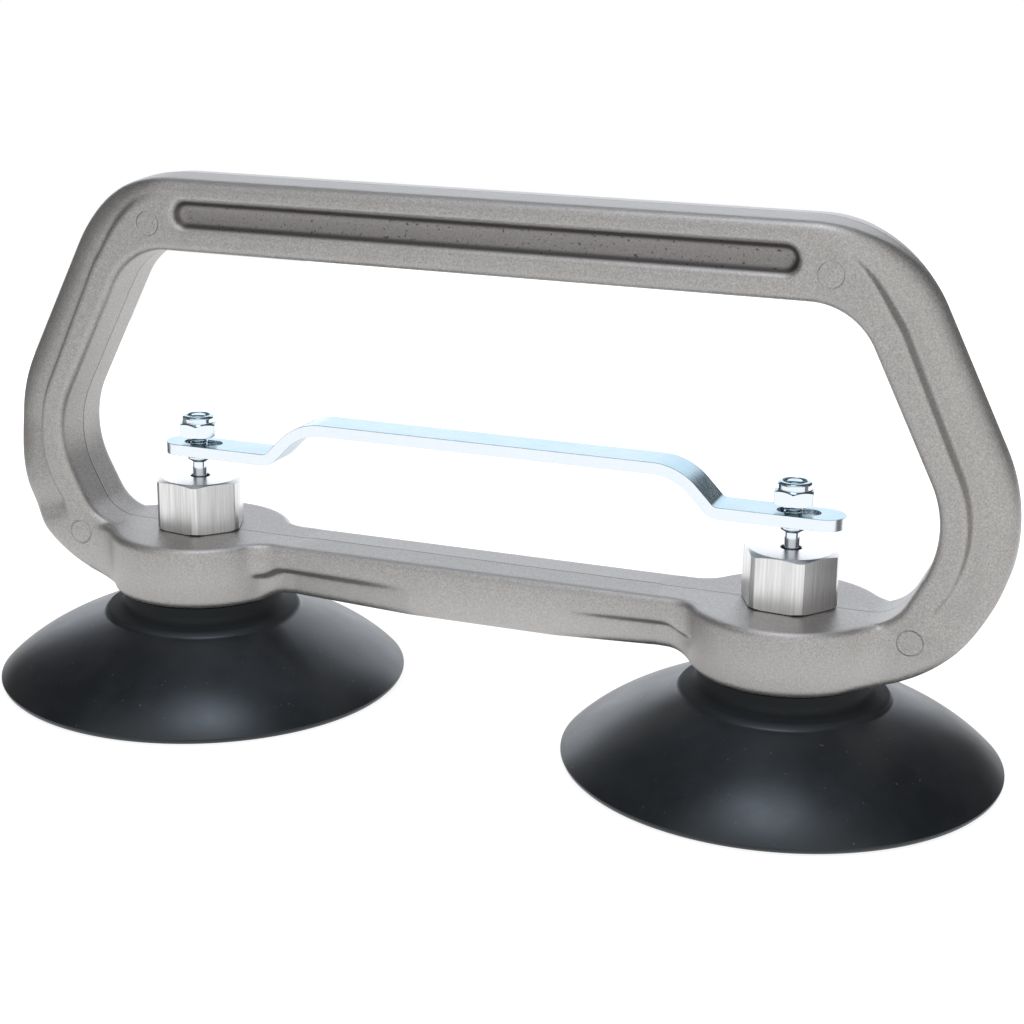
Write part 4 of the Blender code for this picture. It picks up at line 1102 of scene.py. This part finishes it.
def make_world():
    """White for the camera and an even fill for diffuse light.

    Gloss sees a dim room, with a low pale wall in front that is brighter on the right, and a pale
    panel high in front.
    """
    world = bpy.data.worlds.new("studio")
    bpy.context.scene.world = world
    world.use_nodes = True
    world.cycles.sampling_method = "NONE"
    world.node_tree.nodes.clear()
    n = Nodes(world.node_tree)

    def background(strength):
        made = n.node("ShaderNodeBackground")
        made.inputs["Color"].default_value = (1, 1, 1, 1)
        n.put(made.inputs["Strength"], strength)
        return made.outputs[0]

    direction = n.node("ShaderNodeTexCoord").outputs["Generated"]
    low = n.fade(n.axis("Z", direction), 0.50, 0.25)
    front = n.fade(n.axis("Y", direction), 0.35, 0.0)
    right = n.fade(n.axis("X", direction), -0.3, 0.3)
    wall = n.times(n.times(low, front), n.math("MULTIPLY_ADD", right, 0.9, 0.1))
    facing = n.node("ShaderNodeVectorMath", operation="DOT_PRODUCT")
    n.put(facing.inputs[0], direction)
    facing.inputs[1].default_value = (0.15, -0.75, 0.65)
    panel = n.fade(facing.outputs["Value"], 0.58, 0.80)
    gloss = n.math("MULTIPLY_ADD", n.math("MAXIMUM", wall, panel), 0.92, 0.13)
    path = n.node("ShaderNodeLightPath").outputs
    lit = n.join(n.node("ShaderNodeMixShader"), seen_directly(n, path), background(0.72), background(gloss))
    lit = n.join(n.node("ShaderNodeMixShader"), path["Is Camera Ray"], lit, background(1.0))
    n.put(n.node("ShaderNodeOutputWorld").inputs[0], lit)


def area_light(name, place, target, size, radiance, colour):
    """A soft box that shines at a given radiance."""
    data = bpy.data.lights.new(name, "AREA")
    data.color = colour
    data.shape = "RECTANGLE"
    data.size, data.size_y = size
    data.energy = radiance * pi * size[0] * size[1]
    light = bpy.data.objects.new(name, data)
    light.location = place
    light.rotation_euler = (Vector(target) - Vector(place)).to_track_quat("-Z", "Y").to_euler()
    bpy.context.scene.collection.objects.link(light)


def make_camera():
    """The photograph's view: from the right of the front, a little above."""
    azimuth = radians(20.38)
    elevation = radians(16.46)
    roll = radians(0.94)
    distance = 0.6015
    target = Vector((0.0102, 0, 0.0652))
    back = Vector((sin(azimuth) * cos(elevation), -cos(azimuth) * cos(elevation), sin(elevation)))
    side = Vector((cos(azimuth), sin(azimuth), 0))
    up = back.cross(side)
    side, up = cos(roll) * side + sin(roll) * up, -sin(roll) * side + cos(roll) * up
    data = bpy.data.cameras.new("camera")
    data.lens = 70.76
    data.sensor_width = 36
    data.clip_start = 0.01
    camera = bpy.data.objects.new("camera", data)
    turn = Matrix((side, up, back)).transposed().to_4x4()
    camera.matrix_world = Matrix.Translation(target + back * distance) @ turn
    bpy.context.scene.collection.objects.link(camera)
    bpy.context.scene.camera = camera


make_camera()
make_pieces()
make_floor()
make_world()
area_light("back_panel", (-0.56, 1.0, 0.43), (-0.56, 0, 0.43), (1.68, 0.84), 1.75, (0.94, 0.98, 1.05))
area_light("top_box", (0.055, -0.22, 1.20), (0.05, 0, 0.02), (0.42, 0.38), 5.5, (0.90, 0.97, 1.10))
bpy.context.scene.view_settings.view_transform = "Standard"
